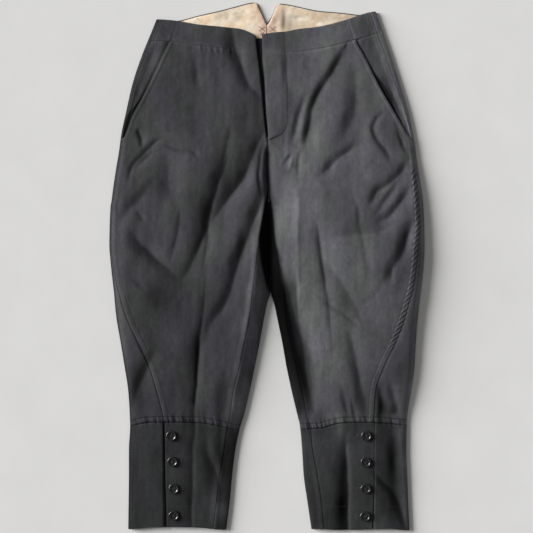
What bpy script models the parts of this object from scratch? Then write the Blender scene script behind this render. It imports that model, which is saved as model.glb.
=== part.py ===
"""Balloon trousers laid flat on the floor, waist towards +Y, fronts up.

The wearer's right leg is on the -X side. Tables are in millimetres, measured from the middle of
the laid-out garment; MM turns them into Blender's metres. The back pieces lie on the floor and come
round both edges of each leg onto the top, where the front pieces meet them at the seams.
"""
import math

import bmesh
import bpy
import numpy as np

MM = 0.001

# Cloth and seams
WALL = 1.2
LINING_WALL = 1.0
SEAM = 0.3
LAYER_GAP = 0.35
FOLDED_EDGE = 4.4
LOWEST_TOP = 3.6
LOWEST_TOP_EASE = 0.6
OUTER_ROLL = 12.0
STEEPEST = 1.5
LIP_PLACE = 1.9
LIP_WIDTH = 0.8
HIDDEN_DEPTH = WALL + LAYER_GAP + 0.25

# Overall lengths, from the centre of the garment
CROTCH_LEVEL = 107.0
FLY_END_LEVEL = 206.0
POCKET_END = 207.0
POCKET_UNDERLAP = 12.0
BUTTON_STAND = 26.0
SHIELD_TOP = 372.0
SHIELD_END = 212.0
SHIELD_SIDES = (-27.0, 5.0)
LINING_INSET = 2.0

# Buttons
BUTTON_DIAMETER = 17.0
BUTTON_HEIGHT = 2.7
BUTTON_HOLE_DIAMETER = 2.0
BUTTON_HOLE_SPACING = 4.6

LEG_COLUMNS = ("level", "outer", "side_seam", "front_edge", "inner", "crown", "drop", "roll")
RIGHT_LEG = (
    (432, -171.0, -166.0, -19.5, -1.0, 6.6, 0, 2.0),
    (403, -181.0, -176.0, -19.5, -1.0, 6.6, 0, 2.0),
    (367, -195.5, -190.0, -17.5, -1.0, 7.0, 0, 2.0),
    (346, -204.0, -198.5, -15.0, -1.0, 7.4, 0, 2.0),
    (300, -219.5, -214.5, -9.5, -0.5, 8.0, 0, 2.0),
    (250, -231.0, -226.5, -5.0, 0.0, 9.0, 0, 2.0),
    (212, -239.0, -235.0, -0.8, 1.5, 10.0, 0, 2.0),
    (200, -240.5, -236.5, 1.2, 1.4, 10.3, 0, 2.5),
    (182, -243.0, -239.0, 1.0, 1.2, 10.8, 0.9, 3.5),
    (165, -246.0, -242.0, 0.7, 0.9, 11.0, 1, 4.0),
    (122, -252.5, -248.5, 2.3, 2.5, 12.5, 1, 4.5),
    (106, -254.5, -250.5, 0.4, 3.1, 13.0, 1, 5.0),
    (98, -256.0, -252.0, -2.0, 3.5, 13.5, 1, 5.5),
    (64, -257.5, -253.6, -7.0, 4.2, 14.5, 1, 8.0),
    (35, -258.0, -254.2, -12.0, 4.9, 15.5, 1, 11.0),
    (7, -256.0, -251.0, -17.0, 5.4, 16.0, 1, 12.0),
    (-30, -252.0, -244.5, -22.0, 5.8, 16.0, 1, 12.0),
    (-42, -250.5, -241.0, -23.5, 5.8, 16.0, 1, 12.0),
    (-60, -249.0, -236.0, -25.5, 0.5, 15.5, 1, 12.0),
    (-84, -246.5, -228.0, -28.0, -4.5, 15.0, 1, 12.0),
    (-125, -239.5, -209.5, -37.0, -12.0, 14.0, 1, 12.0),
    (-165, -233.0, -191.5, -45.0, -20.0, 12.5, 1, 11.0),
    (-205, -227.0, -179.0, -55.0, -28.5, 11.0, 1, 10.0),
    (-245, -224.5, -169.5, -60.5, -38.0, 8.5, 1, 9.0),
    (-262, -224.0, -167.5, -64.5, -43.5, 7.4, 1, 8.0),
    (-302, -226.0, -166.5, -70.0, -52.0, 7.6, 1, 8.0),
    (-342, -226.0, -166.0, -77.0, -57.0, 7.6, 1, 8.0),
    (-385, -226.5, -165.0, -82.5, -61.0, 7.4, 1, 8.0),
    (-432, -227.0, -164.0, -88.5, -67.0, 7.0, 1, 8.0),
)
LEFT_LEG = (
    (432, 173.0, 163.0, -8.5, -0.7, 6.8, 0, 2.0),
    (416, 178.0, 168.0, -8.5, -0.7, 6.8, 0, 2.0),
    (390, 187.0, 176.5, -8.5, -0.7, 6.8, 0, 2.0),
    (367, 195.0, 185.0, -8.3, -0.7, 7.0, 0, 2.0),
    (346, 202.0, 193.0, -8.0, -0.7, 7.4, 0, 2.0),
    (300, 217.0, 209.0, -4.0, -0.2, 8.2, 0, 2.0),
    (250, 232.0, 227.0, -1.5, 0.3, 9.2, 0, 2.0),
    (212, 240.0, 236.2, 1.6, 1.8, 10.2, 0, 2.0),
    (200, 242.0, 238.0, 1.5, 1.7, 10.4, 0, 2.5),
    (182, 244.0, 240.2, 1.2, 1.4, 10.9, 0.9, 3.5),
    (165, 246.5, 242.0, 1.0, 1.2, 11.5, 1, 4.0),
    (122, 253.5, 246.5, 2.6, 2.8, 13.0, 1, 4.5),
    (106, 255.5, 248.0, 6.2, 3.4, 13.5, 1, 5.0),
    (98, 256.0, 248.5, 9.0, 3.8, 14.0, 1, 5.5),
    (64, 257.5, 250.0, 10.0, 4.5, 15.0, 1, 7.0),
    (35, 258.0, 246.5, 11.5, 5.2, 16.0, 1, 8.0),
    (7, 257.0, 244.0, 19.0, 5.7, 16.5, 1, 11.0),
    (-30, 253.5, 239.0, 28.5, 6.1, 16.5, 1, 13.0),
    (-42, 252.0, 236.5, 29.5, 6.1, 16.5, 1, 13.0),
    (-60, 249.5, 231.0, 30.5, 11.5, 16.0, 1, 12.0),
    (-84, 247.0, 224.5, 32.0, 16.5, 15.5, 1, 11.0),
    (-125, 243.5, 209.0, 39.5, 25.0, 14.5, 1, 10.0),
    (-165, 241.5, 190.0, 48.5, 32.0, 13.0, 1, 10.0),
    (-205, 236.0, 177.0, 57.5, 40.5, 11.5, 1, 10.0),
    (-245, 229.5, 175.0, 65.0, 50.0, 8.5, 1, 9.0),
    (-262, 228.5, 174.5, 70.0, 54.0, 7.4, 1, 8.0),
    (-302, 228.0, 174.0, 75.0, 57.5, 7.6, 1, 8.0),
    (-342, 229.5, 174.0, 82.5, 60.0, 7.6, 1, 8.0),
    (-385, 231.0, 172.5, 89.0, 66.0, 7.4, 1, 8.0),
    (-432, 233.0, 171.0, 93.5, 73.0, 7.0, 1, 8.0),
)

MOUTH_COLUMNS = ("level", "mouth")
RIGHT_MOUTH = ((403, -149.0), (367, -160.0), (346, -170.5), (310, -188.0), (243, -223.0),
               (214, -231.5), (206, -235.5))
LEFT_MOUTH = ((403, 133.0), (367, 145.0), (346, 157.0), (292, 184.0), (230, 220.0),
              (214, 228.5), (206, 236.0))

FLY_COLUMNS = ("level", "stitch_line")
FLY_OUTLINE = ((392, 26.0), (349, 29.0), (284, 33.0), (240, 34.0), (225, 31.0), (214, 23.0),
               (209, 13.0), (206, 5.0))

SEAM_COLUMNS = ("across", "back_top", "front_top", "waist_seam", "cuff_seam", "hem")
RIGHT_SEAMS = (
    (-258, 400.0, 400.0, 366.0, -262.0, -430.0),
    (-227, 400.0, 400.0, 366.0, -261.5, -430.0),
    (-195, 401.5, 401.5, 367.0, -255.5, -427.0),
    (-181, 403.0, 403.0, 368.0, -255.0, -426.5),
    (-153, 401.0, 401.0, 366.5, -255.0, -426.0),
    (-110, 410.5, 394.0, 359.5, -256.0, -427.0),
    (-77, 418.0, 391.0, 356.0, -261.0, -430.5),
    (-43, 427.0, 387.0, 353.0, -268.0, -432.0),
    (-27, 431.0, 381.0, 351.5, -268.0, -432.0),
    (-18, 432.0, 376.0, 350.5, -268.0, -432.0),
    (-14, 424.0, 375.0, 350.0, -268.0, -432.0),
    (-1, 396.0, 376.5, 350.0, -268.0, -432.0),
)
LEFT_SEAMS = (
    (-12, 396.0, 376.5, 350.0, -266.0, -432.0),
    (-1, 396.0, 379.0, 350.0, -266.0, -432.0),
    (14, 424.0, 381.0, 349.5, -266.0, -432.0),
    (17, 430.0, 381.3, 349.5, -266.0, -432.0),
    (29, 429.0, 382.5, 349.0, -266.0, -432.0),
    (52, 424.5, 387.0, 350.0, -266.0, -432.0),
    (83, 418.0, 390.5, 354.0, -265.0, -429.5),
    (123, 414.5, 400.0, 363.0, -256.0, -431.0),
    (156, 411.0, 411.0, 373.0, -255.0, -430.0),
    (178, 416.0, 416.0, 379.0, -255.5, -429.5),
    (198, 416.0, 416.0, 382.0, -257.0, -429.0),
    (233, 416.0, 416.0, 382.0, -260.0, -432.0),
    (258, 416.0, 416.0, 382.0, -262.0, -432.0),
)

FOLD_COLUMNS = ("depth", "width", "lip", "route")
RIGHT_FOLDS = (
    (6.5, 15, 0.35, ((-28, 209), (-51, 165), (-73, 129), (-95, 78), (-102, 40))),
    (4.5, 11, 0.30, ((-98, 62), (-112, 30), (-125, 7), (-141, -16))),
    (5.5, 11, 0.30, ((-9, 185), (-18, 140), (-24, 100), (-36, 66), (-49, 30), (-61, -23))),
    (4.5, 10, 0.25, ((-50, 10), (-64, -30), (-75, -58), (-92, -92), (-104, -112))),
    (2.2, 9, 0.20, ((-59, 372), (-50, 346), (-39, 313), (-30, 290))),
    (2.6, 7, 0.30, ((-214, 222), (-210, 208), (-206, 190))),
    (2.8, 9, 0.20, ((-184, 216), (-204, 188), (-222, 164), (-230, 138))),
    (3.6, 18, 0.15, ((-222, 45), (-197, 13), (-176, -12), (-155, -38))),
    (2.5, 26, 0.00, ((-180, 152), (-199, 113))),
    (2.2, 9, 0.20, ((-149, 62), (-156, 32), (-161, 6))),
    (3.4, 15, 0.10, ((-121, -140), (-127, -180), (-130, -222))),
    (3.4, 12, 0.10, ((-196, -150), (-210, -185), (-222, -225))),
    (2.0, 6, 0.20, ((-96, -236), (-95, -258))),
    (-1.6, 5, 0.00, ((-90, 81), (-101, 10), (-111, -104), (-117, -192), (-122, -254))),
)
LEFT_FOLDS = (
    (5.5, 11, 0.00, ((123, 362), (99, 310), (77, 280), (66, 257), (60, 215))),
    (3.0, 15, 0.15, ((141, 330), (134, 285), (128, 235), (112, 205))),
    (3.2, 9, 0.25, ((184, 240), (170, 226), (176, 209), (192, 192), (196, 176))),
    (2.6, 6, 0.25, ((208, 219), (213, 202), (221, 189))),
    (3.4, 10, 0.20, ((138, 196), (112, 174), (86, 152))),
    (3.4, 10, 0.25, ((226, 168), (212, 150), (196, 132))),
    (3.0, 10, 0.20, ((180, 142), (170, 122), (163, 104))),
    (3.2, 10, 0.20, ((231, 120), (214, 98), (196, 76))),
    (4.0, 13, 0.25, ((230, 68), (214, 22), (200, -4), (196, -22))),
    (3.0, 14, 0.10, ((58, 180), (57, 90), (58, 0), (62, -80))),
    (2.6, 13, 0.20, ((137, 100), (148, 50), (156, -10))),
    (3.6, 11, 0.15, ((143, -140), (150, -190), (162, -248))),
    (2.2, 12, 0.10, ((95, -108), (112, -124), (128, -140))),
    (3.4, 9, 0.15, ((180, -212), (184, -236), (188, -256))),
    (-1.6, 5, 0.00, ((81, 55), (90, -8), (97, -88))),
)

# Button centres: across, level
RIGHT_BUTTONS = ((-156, -277), (-154, -319), (-152, -363), (-152, -407))
LEFT_BUTTONS = ((162, -277), (161, -320), (161, -363), (160, -408))

# Grids: rows down each piece, and places across its parts from 0 to 1
LEG_ROWS = np.linspace(0, 1, 32)
BAND_ROWS = np.linspace(0, 1, 4)
CUFF_ROWS = np.linspace(0, 1, 8)
FACING_ROWS = np.linspace(0, 1, 9)
FLY_ROWS = np.linspace(0, 1, 12)
LINING_ROWS = np.linspace(0, 1, 3)
FOLD_ANGLES = (50, 90, 130)
UNDERSIDE = np.array((0, 0.22, 0.44, 0.66, 0.855, 0.905, 1.0))
INNER_STRIP = np.linspace(0, 1, 4)
FACING_PLACES = (0, 0.9, 2, 3, 4)
FACING_DROPS = (0.0, 0.7, 1.0, 1.0, 1.0)
LINING_PLACES = np.array((0, 0.14, 0.32, 0.52, 0.70, 0.84, 0.885, 0.93, 1.0))

MATERIALS = {
    "black_twill": ((0.045, 0.045, 0.048), 0.85),
    "cuff_twill": ((0.030, 0.030, 0.031), 0.85),
    "cream_lining": ((0.79, 0.62, 0.44), 0.9),
    "black_button": ((0.012, 0.012, 0.013), 0.25),
}


def flow(at, knots, values):
    """Smooth curve through the knots that never swings past them, level beyond both ends."""
    order = np.argsort(knots)
    knots, values = np.asarray(knots, float)[order], np.asarray(values, float)[order]
    rises = np.diff(values) / np.diff(knots)
    before, after = rises[:-1], rises[1:]
    level = before * after <= 0
    mean = 2 * before * after / np.where(level, 1.0, before + after)
    slopes = np.concatenate((rises[:1], np.where(level, 0.0, mean), rises[-1:]))
    at = np.clip(at, knots[0], knots[-1])
    span = np.clip(np.searchsorted(knots, at) - 1, 0, len(knots) - 2)
    step = knots[span + 1] - knots[span]
    s = (at - knots[span]) / step
    return ((1 + 2 * s) * (1 - s) ** 2 * values[span] + s * (1 - s) ** 2 * step * slopes[span]
            + s * s * (3 - 2 * s) * values[span + 1] + s * s * (s - 1) * step * slopes[span + 1])


class Table:
    """Rows of named columns, read as smooth curves over the first column."""

    def __init__(self, columns, rows):
        self.columns = {name: [row[i] for row in rows] for i, name in enumerate(columns)}
        self.first = columns[0]

    def at(self, name, where):
        return flow(where, self.columns[self.first], self.columns[name])


class Leg:
    """One half of the garment: side is -1 for the wearer's right, +1 for the left."""

    def __init__(self, side, rows, mouth, seams, folds):
        self.side = side
        self.rows = Table(LEG_COLUMNS, rows)
        self.mouth = Table(MOUTH_COLUMNS, mouth)
        self.seams = Table(SEAM_COLUMNS, seams)
        self.folds = [dict(zip(FOLD_COLUMNS, row)) for row in folds]

    def across(self, name, level):
        return self.rows.at(name, level)

    def level(self, x, t, upper, lower):
        """Height up the garment of a point between two seams, t from 0 at the upper one to 1."""
        return self.seams.at(upper, x) * (1 - t) + self.seams.at(lower, x) * t

    def find(self, curve, t, upper, lower):
        """Where a curve given by level crosses row t between two seams."""
        y = 0.0
        for _ in range(6):
            x = curve(y)
            y = self.level(x, t, upper, lower)
        return float(x)

    def mouth_side(self, y):
        """The front's outer boundary: the pocket mouth, then the side seam."""
        return np.where(y > FLY_END_LEVEL, self.mouth.at("mouth", y) - self.side * SEAM / 2,
                        self.seam_side(y))

    def seam_side(self, y):
        """The outer boundary of a front piece that meets the back at the side seam."""
        return self.across("side_seam", y) - self.side * SEAM / 2

    def inner_side(self, y):
        """The boundary of a front piece that faces the other leg."""
        return self.across("front_edge", y) + self.side * SEAM / 2

    def top(self, x, y):
        """Height of the upper surface of the laid-out cloth."""
        x, y = np.asarray(x, float), np.asarray(y, float)
        half = FOLDED_EDGE / 2
        from_outer = np.maximum(self.side * (self.across("outer", y) - x) - half, 0)
        from_inner = np.maximum(self.side * (x - self.across("inner", y)) - half, 0)
        rise_out = 1 - np.exp(-from_outer / OUTER_ROLL)
        rise_in = 1 - np.exp(-from_inner / self.across("roll", y))
        drop = np.clip(self.across("drop", y), 0, 1)
        share = rise_out * (1 - drop * (1 - rise_in))
        body = FOLDED_EDGE + (self.across("crown", y) - FOLDED_EDGE) * share
        for fold in self.folds:
            body = body - share * fold_depth(x, y, **fold)
        above = body - LOWEST_TOP
        return LOWEST_TOP + (above + np.sqrt(above ** 2 + LOWEST_TOP_EASE)) / 2

    def thickness(self, x, y):
        """Upright thickness that keeps the wall's own thickness on a slope."""
        step = 0.5
        along_x = (self.top(x + step, y) - self.top(x - step, y)) / (2 * step)
        along_y = (self.top(x, y + step) - self.top(x, y - step)) / (2 * step)
        return np.minimum(np.sqrt(1 + along_x ** 2 + along_y ** 2), STEEPEST)


def fold_depth(x, y, depth, width, lip, route):
    """A soft trough along a route, fading at both ends, with a low ridge on its left side."""
    route = np.asarray(route, float)
    lengths = np.linalg.norm(np.diff(route, axis=0), axis=1)
    reach = np.concatenate(([0.0], np.cumsum(lengths)))
    nearest = np.full(x.shape, 1e9)
    offset = np.zeros(x.shape)
    place = np.zeros(x.shape)
    for start, end, length, run in zip(route[:-1], route[1:], lengths, reach[:-1]):
        way = (end - start) / length
        along = np.clip((x - start[0]) * way[0] + (y - start[1]) * way[1], 0, length)
        dx, dy = x - start[0] - along * way[0], y - start[1] - along * way[1]
        distance = np.hypot(dx, dy)
        closer = distance < nearest
        nearest = np.where(closer, distance, nearest)
        offset = np.where(closer, distance * np.sign(way[0] * dy - way[1] * dx), offset)
        place = np.where(closer, (run + along) / reach[-1], place)
    fade = np.sin(math.pi * np.clip(place, 0.02, 0.98)) ** 0.5
    q = offset / width
    return depth * fade * (np.exp(-q ** 2) - lip * np.exp(-((q - LIP_PLACE) / LIP_WIDTH) ** 2))


RIGHT = Leg(-1, RIGHT_LEG, RIGHT_MOUTH, RIGHT_SEAMS, RIGHT_FOLDS)
LEFT = Leg(1, LEFT_LEG, LEFT_MOUTH, LEFT_SEAMS, LEFT_FOLDS)
LEGS = {"right": RIGHT, "left": LEFT}
FLY = Table(FLY_COLUMNS, FLY_OUTLINE)


def clear_scene():
    for item in list(bpy.data.objects):
        bpy.data.objects.remove(item, do_unlink=True)


def make_collection(name):
    group = bpy.data.collections.new(name)
    bpy.context.scene.collection.children.link(group)
    return group


def make_material(name):
    colour, roughness = MATERIALS[name]
    material = bpy.data.materials.new(name)
    material.use_nodes = True
    shader = material.node_tree.nodes["Principled BSDF"]
    shader.inputs["Base Color"].default_value = (*colour, 1.0)
    shader.inputs["Roughness"].default_value = roughness
    shader.inputs["Metallic"].default_value = 0.0
    return material


def make_wall(name, outer, inner, kept, material, group):
    """Close a wall between two grids of points over the kept cells."""
    rows, columns = outer.shape[:2]
    mesh = bmesh.new()
    used = {}

    def corner(layer, row, column):
        key = (layer, row, column)
        if key not in used:
            source = outer if layer == "outer" else inner
            used[key] = mesh.verts.new(source[row, column] * MM)
        return used[key]

    borders = {}
    for row in range(rows - 1):
        for column in range(columns - 1):
            if not kept[row, column]:
                continue
            ring = ((row, column), (row, column + 1), (row + 1, column + 1), (row + 1, column))
            mesh.faces.new([corner("outer", *spot) for spot in ring])
            mesh.faces.new([corner("inner", *spot) for spot in reversed(ring)])
            for a, b in zip(ring, ring[1:] + ring[:1]):
                if (b, a) in borders:
                    del borders[(b, a)]
                else:
                    borders[(a, b)] = True
    for a, b in borders:
        mesh.faces.new((corner("outer", *b), corner("outer", *a),
                        corner("inner", *a), corner("inner", *b)))
    bmesh.ops.recalc_face_normals(mesh, faces=mesh.faces)
    data = bpy.data.meshes.new(name)
    mesh.to_mesh(data)
    mesh.free()
    data.materials.append(material)
    data.shade_smooth()
    data.set_sharp_from_angle(angle=math.radians(40))
    item = bpy.data.objects.new(name, data)
    group.objects.link(item)
    return item


def crowded(count, crowding=0.55):
    """Places from 0 to 1, closer together towards both ends."""
    even = np.linspace(0, 1, count)
    return even * (1 - crowding) + crowding * (1 - np.cos(math.pi * even)) / 2


def grid(x, y, z):
    return np.stack(np.broadcast_arrays(x, y, z), axis=-1).astype(float)


def everything(points):
    return np.ones((points.shape[0] - 1, points.shape[1] - 1), bool)


def laid_panel(name, leg, first, last, upper, lower, rows, columns, material, group,
               trim_top=SEAM / 2, trim_bottom=SEAM / 2):
    """A panel of the top layer between two side curves and two seams."""
    x, y = [], []
    for t in rows:
        ends = [leg.find(curve, t, upper, lower) for curve in (first, last)]
        line = ends[0] + (ends[1] - ends[0]) * columns
        x.append(line)
        y.append(leg.level(line, t, upper, lower))
    x, y = np.array(x), np.array(y)
    y[0] -= trim_top
    y[-1] += trim_bottom
    top = leg.top(x, y)
    outer = grid(x, y, top)
    inner = grid(x, y, top - WALL * leg.thickness(x, y))
    return make_wall(name, outer, inner, everything(outer), material, group)


def wrapped_section(leg, y_of, strip, drops, outer_x, inner_x, seam_x=None):
    """Outer and inner points of a back piece: top strip, folded edge, underside, folded edge
    and, down to seam_x, the part on top of the leg's inner side."""
    half = FOLDED_EDGE / 2
    bore = half - WALL
    side = leg.side

    def on_top(line, drop):
        level = y_of(line)
        top = leg.top(line, level) - drop
        return (list(zip(line, top)), list(zip(line, top - WALL * leg.thickness(line, level))))

    def around(centre, way, angles):
        turn = np.radians(angles)
        return (list(zip(centre + way * half * np.sin(turn), half + half * np.cos(turn))),
                list(zip(centre + way * bore * np.sin(turn), half + bore * np.cos(turn))))

    outside = outer_x - side * half
    inside = inner_x + side * half
    pieces = [on_top(strip + (outside - strip[-1]) * np.linspace(0, 1, len(strip)), drops),
              around(outside, side, FOLD_ANGLES)]
    end = inner_x if seam_x is None else inside
    floor = outside + (end - outside) * UNDERSIDE
    pieces.append((list(zip(floor, 0.0 * floor)), list(zip(floor, 0.0 * floor + WALL))))
    if seam_x is not None:
        pieces.append(around(inside, -side, FOLD_ANGLES[::-1]))
        pieces.append(on_top(inside + (seam_x - inside) * INNER_STRIP, 0.0))
    return ([spot for piece in pieces for spot in piece[0]],
            [spot for piece in pieces for spot in piece[1]])


def back_piece(name, leg, upper, lower, rows, strip_count, material, group, first_wrap=None,
               stand=0.0, trim_top=SEAM / 2, trim_bottom=SEAM / 2):
    """A piece that lies on the floor and comes round onto the top. Rows above first_wrap end
    flat at the centre back; a stand carries the top strip on under the front."""
    outer_rows, inner_rows, wraps = [], [], []
    wrap_points = len(FOLD_ANGLES) + len(INNER_STRIP)
    gap = leg.side * SEAM / 2
    for number, t in enumerate(rows):
        shift = -trim_top if number == 0 else trim_bottom if number == len(rows) - 1 else 0.0

        def y_of(x):
            return leg.level(x, t, upper, lower) + shift

        def place(name):
            return leg.find(lambda y: leg.across(name, y), t, upper, lower)

        outer_x, inner_x = place("outer"), place("inner")
        start = place("side_seam") + gap - leg.side * stand
        strip = np.linspace(start, outer_x - leg.side * FOLDED_EDGE / 2, strip_count)
        drops = stand_drops(strip_count) if stand else np.zeros(strip_count)
        wrapped = first_wrap is not None and y_of(inner_x) < first_wrap
        seam_x = place("front_edge") - gap if wrapped else None
        out, wall = wrapped_section(leg, y_of, strip, drops, outer_x,
                                    inner_x if wrapped else inner_x + gap, seam_x)
        spare = 0 if wrapped else wrap_points
        out, wall = out + [out[-1]] * spare, wall + [wall[-1]] * spare
        outer_rows.append([(x, y_of(x), z) for x, z in out])
        inner_rows.append([(x, y_of(x), z) for x, z in wall])
        wraps.append(wrapped)
    outer, inner = np.array(outer_rows), np.array(inner_rows)
    kept = everything(outer)
    for number, wrapped in enumerate(wraps[:-1]):
        if not wrapped:
            kept[number, -wrap_points:] = False
    return make_wall(name, outer, inner, kept, material, group)


def stand_drops(count):
    """How far a button stand lies below the cloth above it, easing to none at the fold."""
    return HIDDEN_DEPTH * np.clip(np.linspace(1.6, 0, count), 0, 1)


def pocket_facing(name, leg, material, group):
    """The strip behind the pocket mouth: level with the side seam, then down under the front."""
    side = leg.side
    depth = HIDDEN_DEPTH + 0.25
    x, y = [], []
    for t in FACING_ROWS:
        def y_of(a):
            return leg.seams.at("waist_seam", a) * (1 - t) + POCKET_END * t - SEAM / 2

        def meet(table, curve, inward):
            a = float(leg.across("outer", FLY_END_LEVEL))
            for _ in range(6):
                a = float(table.at(curve, y_of(a))) - side * inward
            return a

        seam = meet(leg.rows, "side_seam", SEAM)
        mouth = meet(leg.mouth, "mouth", 0.0)
        hidden = meet(leg.mouth, "mouth", POCKET_UNDERLAP)
        line = np.interp(FACING_PLACES, (0, 2, 4), (seam, mouth, hidden))
        x.append(line)
        y.append(y_of(line))
    x, y = np.array(x), np.array(y)
    top = leg.top(x, y) - depth * np.array(FACING_DROPS)
    outer = grid(x, y, top)
    inner = grid(x, y, top - WALL)
    return make_wall(name, outer, inner, everything(outer), material, group)


def flat_lining(name, leg, material, group):
    """The lining of the back waistband: its upper edge shows above the front."""
    x, y = [], []
    for t in LINING_ROWS:
        start = leg.find(lambda b: leg.across("outer", b), t, "back_top", "waist_seam")
        start -= leg.side * (FOLDED_EDGE / 2 + 1.0)
        end = leg.find(lambda b: leg.across("inner", b), t, "back_top", "waist_seam")
        line = start + (end + leg.side * SEAM - start) * LINING_PLACES
        x.append(line)
        y.append(leg.level(line, t, "back_top", "waist_seam") - LINING_INSET * (1 - t))
    outer = grid(np.array(x), np.array(y), WALL + SEAM + LINING_WALL)
    inner = grid(np.array(x), np.array(y), WALL + SEAM)
    return make_wall(name, outer, inner, everything(outer), material, group)


def fly_piece(material, group):
    """The J-shaped fly that lies on the left front and its waistband."""
    x, y = [], []
    for t in FLY_ROWS:
        level = SHIELD_TOP * (1 - t) + FLY_END_LEVEL * t
        line = np.linspace(LEFT.inner_side(level), FLY.at("stitch_line", level), 4)
        x.append(line)
        y.append(level + (LEFT.seams.at("front_top", line) - SHIELD_TOP) * (1 - t))
    x, y = np.array(x), np.array(y)
    top = LEFT.top(x, y) + LAYER_GAP
    outer = grid(x, y, top + LINING_WALL)
    inner = grid(x, y, top)
    return make_wall("fly", outer, inner, everything(outer), material, group)


def fly_shield(material, group):
    """The strip behind the slit of the fly."""
    x, y = np.meshgrid(np.linspace(*SHIELD_SIDES, 4), np.linspace(SHIELD_TOP, SHIELD_END, 9))
    top = np.minimum(RIGHT.top(x, y), LEFT.top(x, y)) - HIDDEN_DEPTH
    outer = grid(x, y, top)
    inner = grid(x, y, top - LINING_WALL)
    return make_wall("fly_shield", outer, inner, everything(outer), material, group)


def button_shape(material, group):
    """One button's mesh: a turned dish with a raised rim and four holes."""
    radius, height = BUTTON_DIAMETER / 2, BUTTON_HEIGHT
    profile = ((0.0, height * 0.62), (radius * 0.68, height * 0.66), (radius * 0.80, height),
               (radius * 0.92, height), (radius, height * 0.72), (radius, height * 0.3),
               (radius * 0.85, 0.0), (0.0, 0.0))
    data = bpy.data.meshes.new("button_profile")
    data.from_pydata([(a * MM, 0, b * MM) for a, b in profile],
                     [(i, i + 1) for i in range(len(profile) - 1)], [])
    turned = bpy.data.objects.new("button_profile", data)
    group.objects.link(turned)
    screw = turned.modifiers.new("turn", "SCREW")
    screw.steps = screw.render_steps = 16
    screw.use_merge_vertices = True
    screw.merge_threshold = 0.00005
    step = BUTTON_HOLE_SPACING / 2
    for number, (across, along) in enumerate(((-1, -1), (1, -1), (1, 1), (-1, 1))):
        bpy.ops.mesh.primitive_cylinder_add(
            vertices=6, radius=BUTTON_HOLE_DIAMETER / 2 * MM, depth=3 * height * MM,
            location=(across * step * MM, along * step * MM, height / 2 * MM))
        hole = bpy.context.object
        hole.name = f"button_hole_{number + 1}"
        for owner in list(hole.users_collection):
            owner.objects.unlink(hole)
        cutters.objects.link(hole)
        hole.hide_render = True
        hole.display_type = "WIRE"
        cut = turned.modifiers.new(hole.name, "BOOLEAN")
        cut.operation = "DIFFERENCE"
        cut.object = hole
    bpy.context.view_layer.update()
    evaluated = turned.evaluated_get(bpy.context.evaluated_depsgraph_get())
    shape = bpy.data.meshes.new_from_object(evaluated)
    shape.name = "button"
    shape.materials.clear()
    shape.materials.append(material)
    shape.shade_smooth()
    shape.set_sharp_from_angle(angle=math.radians(35))
    bpy.data.objects.remove(turned, do_unlink=True)
    return shape


def place_button(name, leg, across, level, shape, group):
    """Set a button on the flap, clear of the cloth under its whole rim."""
    around = np.linspace(0, 2 * math.pi, 13)[:-1]
    ring_x = across + BUTTON_DIAMETER / 2 * np.cos(around)
    ring_y = level + BUTTON_DIAMETER / 2 * np.sin(around)
    seat = float(np.max(leg.top(ring_x, ring_y))) + SEAM
    item = bpy.data.objects.new(name, shape)
    item.location = (across * MM, level * MM, seat * MM)
    group.objects.link(item)


clear_scene()
trousers = make_collection("balloon_trousers")
cutters = make_collection("cutters")
materials = {name: make_material(name) for name in MATERIALS}
twill, cuff_twill = materials["black_twill"], materials["cuff_twill"]
button = button_shape(materials["black_button"], trousers)

for word, leg in LEGS.items():
    laid_panel(f"front_{word}", leg, leg.mouth_side, leg.inner_side, "waist_seam", "cuff_seam",
               LEG_ROWS, crowded(16), twill, trousers)
    back_piece(f"back_{word}", leg, "waist_seam", "cuff_seam", LEG_ROWS, 4, twill, trousers,
               first_wrap=CROTCH_LEVEL)
    pocket_facing(f"pocket_facing_{word}", leg, twill, trousers)

    laid_panel(f"waistband_front_{word}", leg, leg.seam_side, leg.inner_side, "front_top",
               "waist_seam", BAND_ROWS, crowded(12), twill, trousers, trim_top=0.0)
    back_piece(f"waistband_back_{word}", leg, "back_top", "waist_seam", BAND_ROWS, 4, twill,
               trousers, trim_top=0.0)
    flat_lining(f"waistband_lining_{word}", leg, materials["cream_lining"], trousers)

    laid_panel(f"cuff_front_{word}", leg, leg.seam_side, leg.inner_side, "cuff_seam", "hem",
               CUFF_ROWS, crowded(10), cuff_twill, trousers, trim_bottom=0.0)
    back_piece(f"cuff_back_{word}", leg, "cuff_seam", "hem", CUFF_ROWS, 6, cuff_twill, trousers,
               first_wrap=CROTCH_LEVEL, stand=BUTTON_STAND, trim_bottom=0.0)

fly_piece(twill, trousers)
fly_shield(twill, trousers)
for word, leg, places in (("right", RIGHT, RIGHT_BUTTONS), ("left", LEFT, LEFT_BUTTONS)):
    for number, (across, level) in enumerate(places, start=1):
        place_button(f"button_{word}_{number}", leg, across, level, button, trousers)
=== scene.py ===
import math

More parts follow.
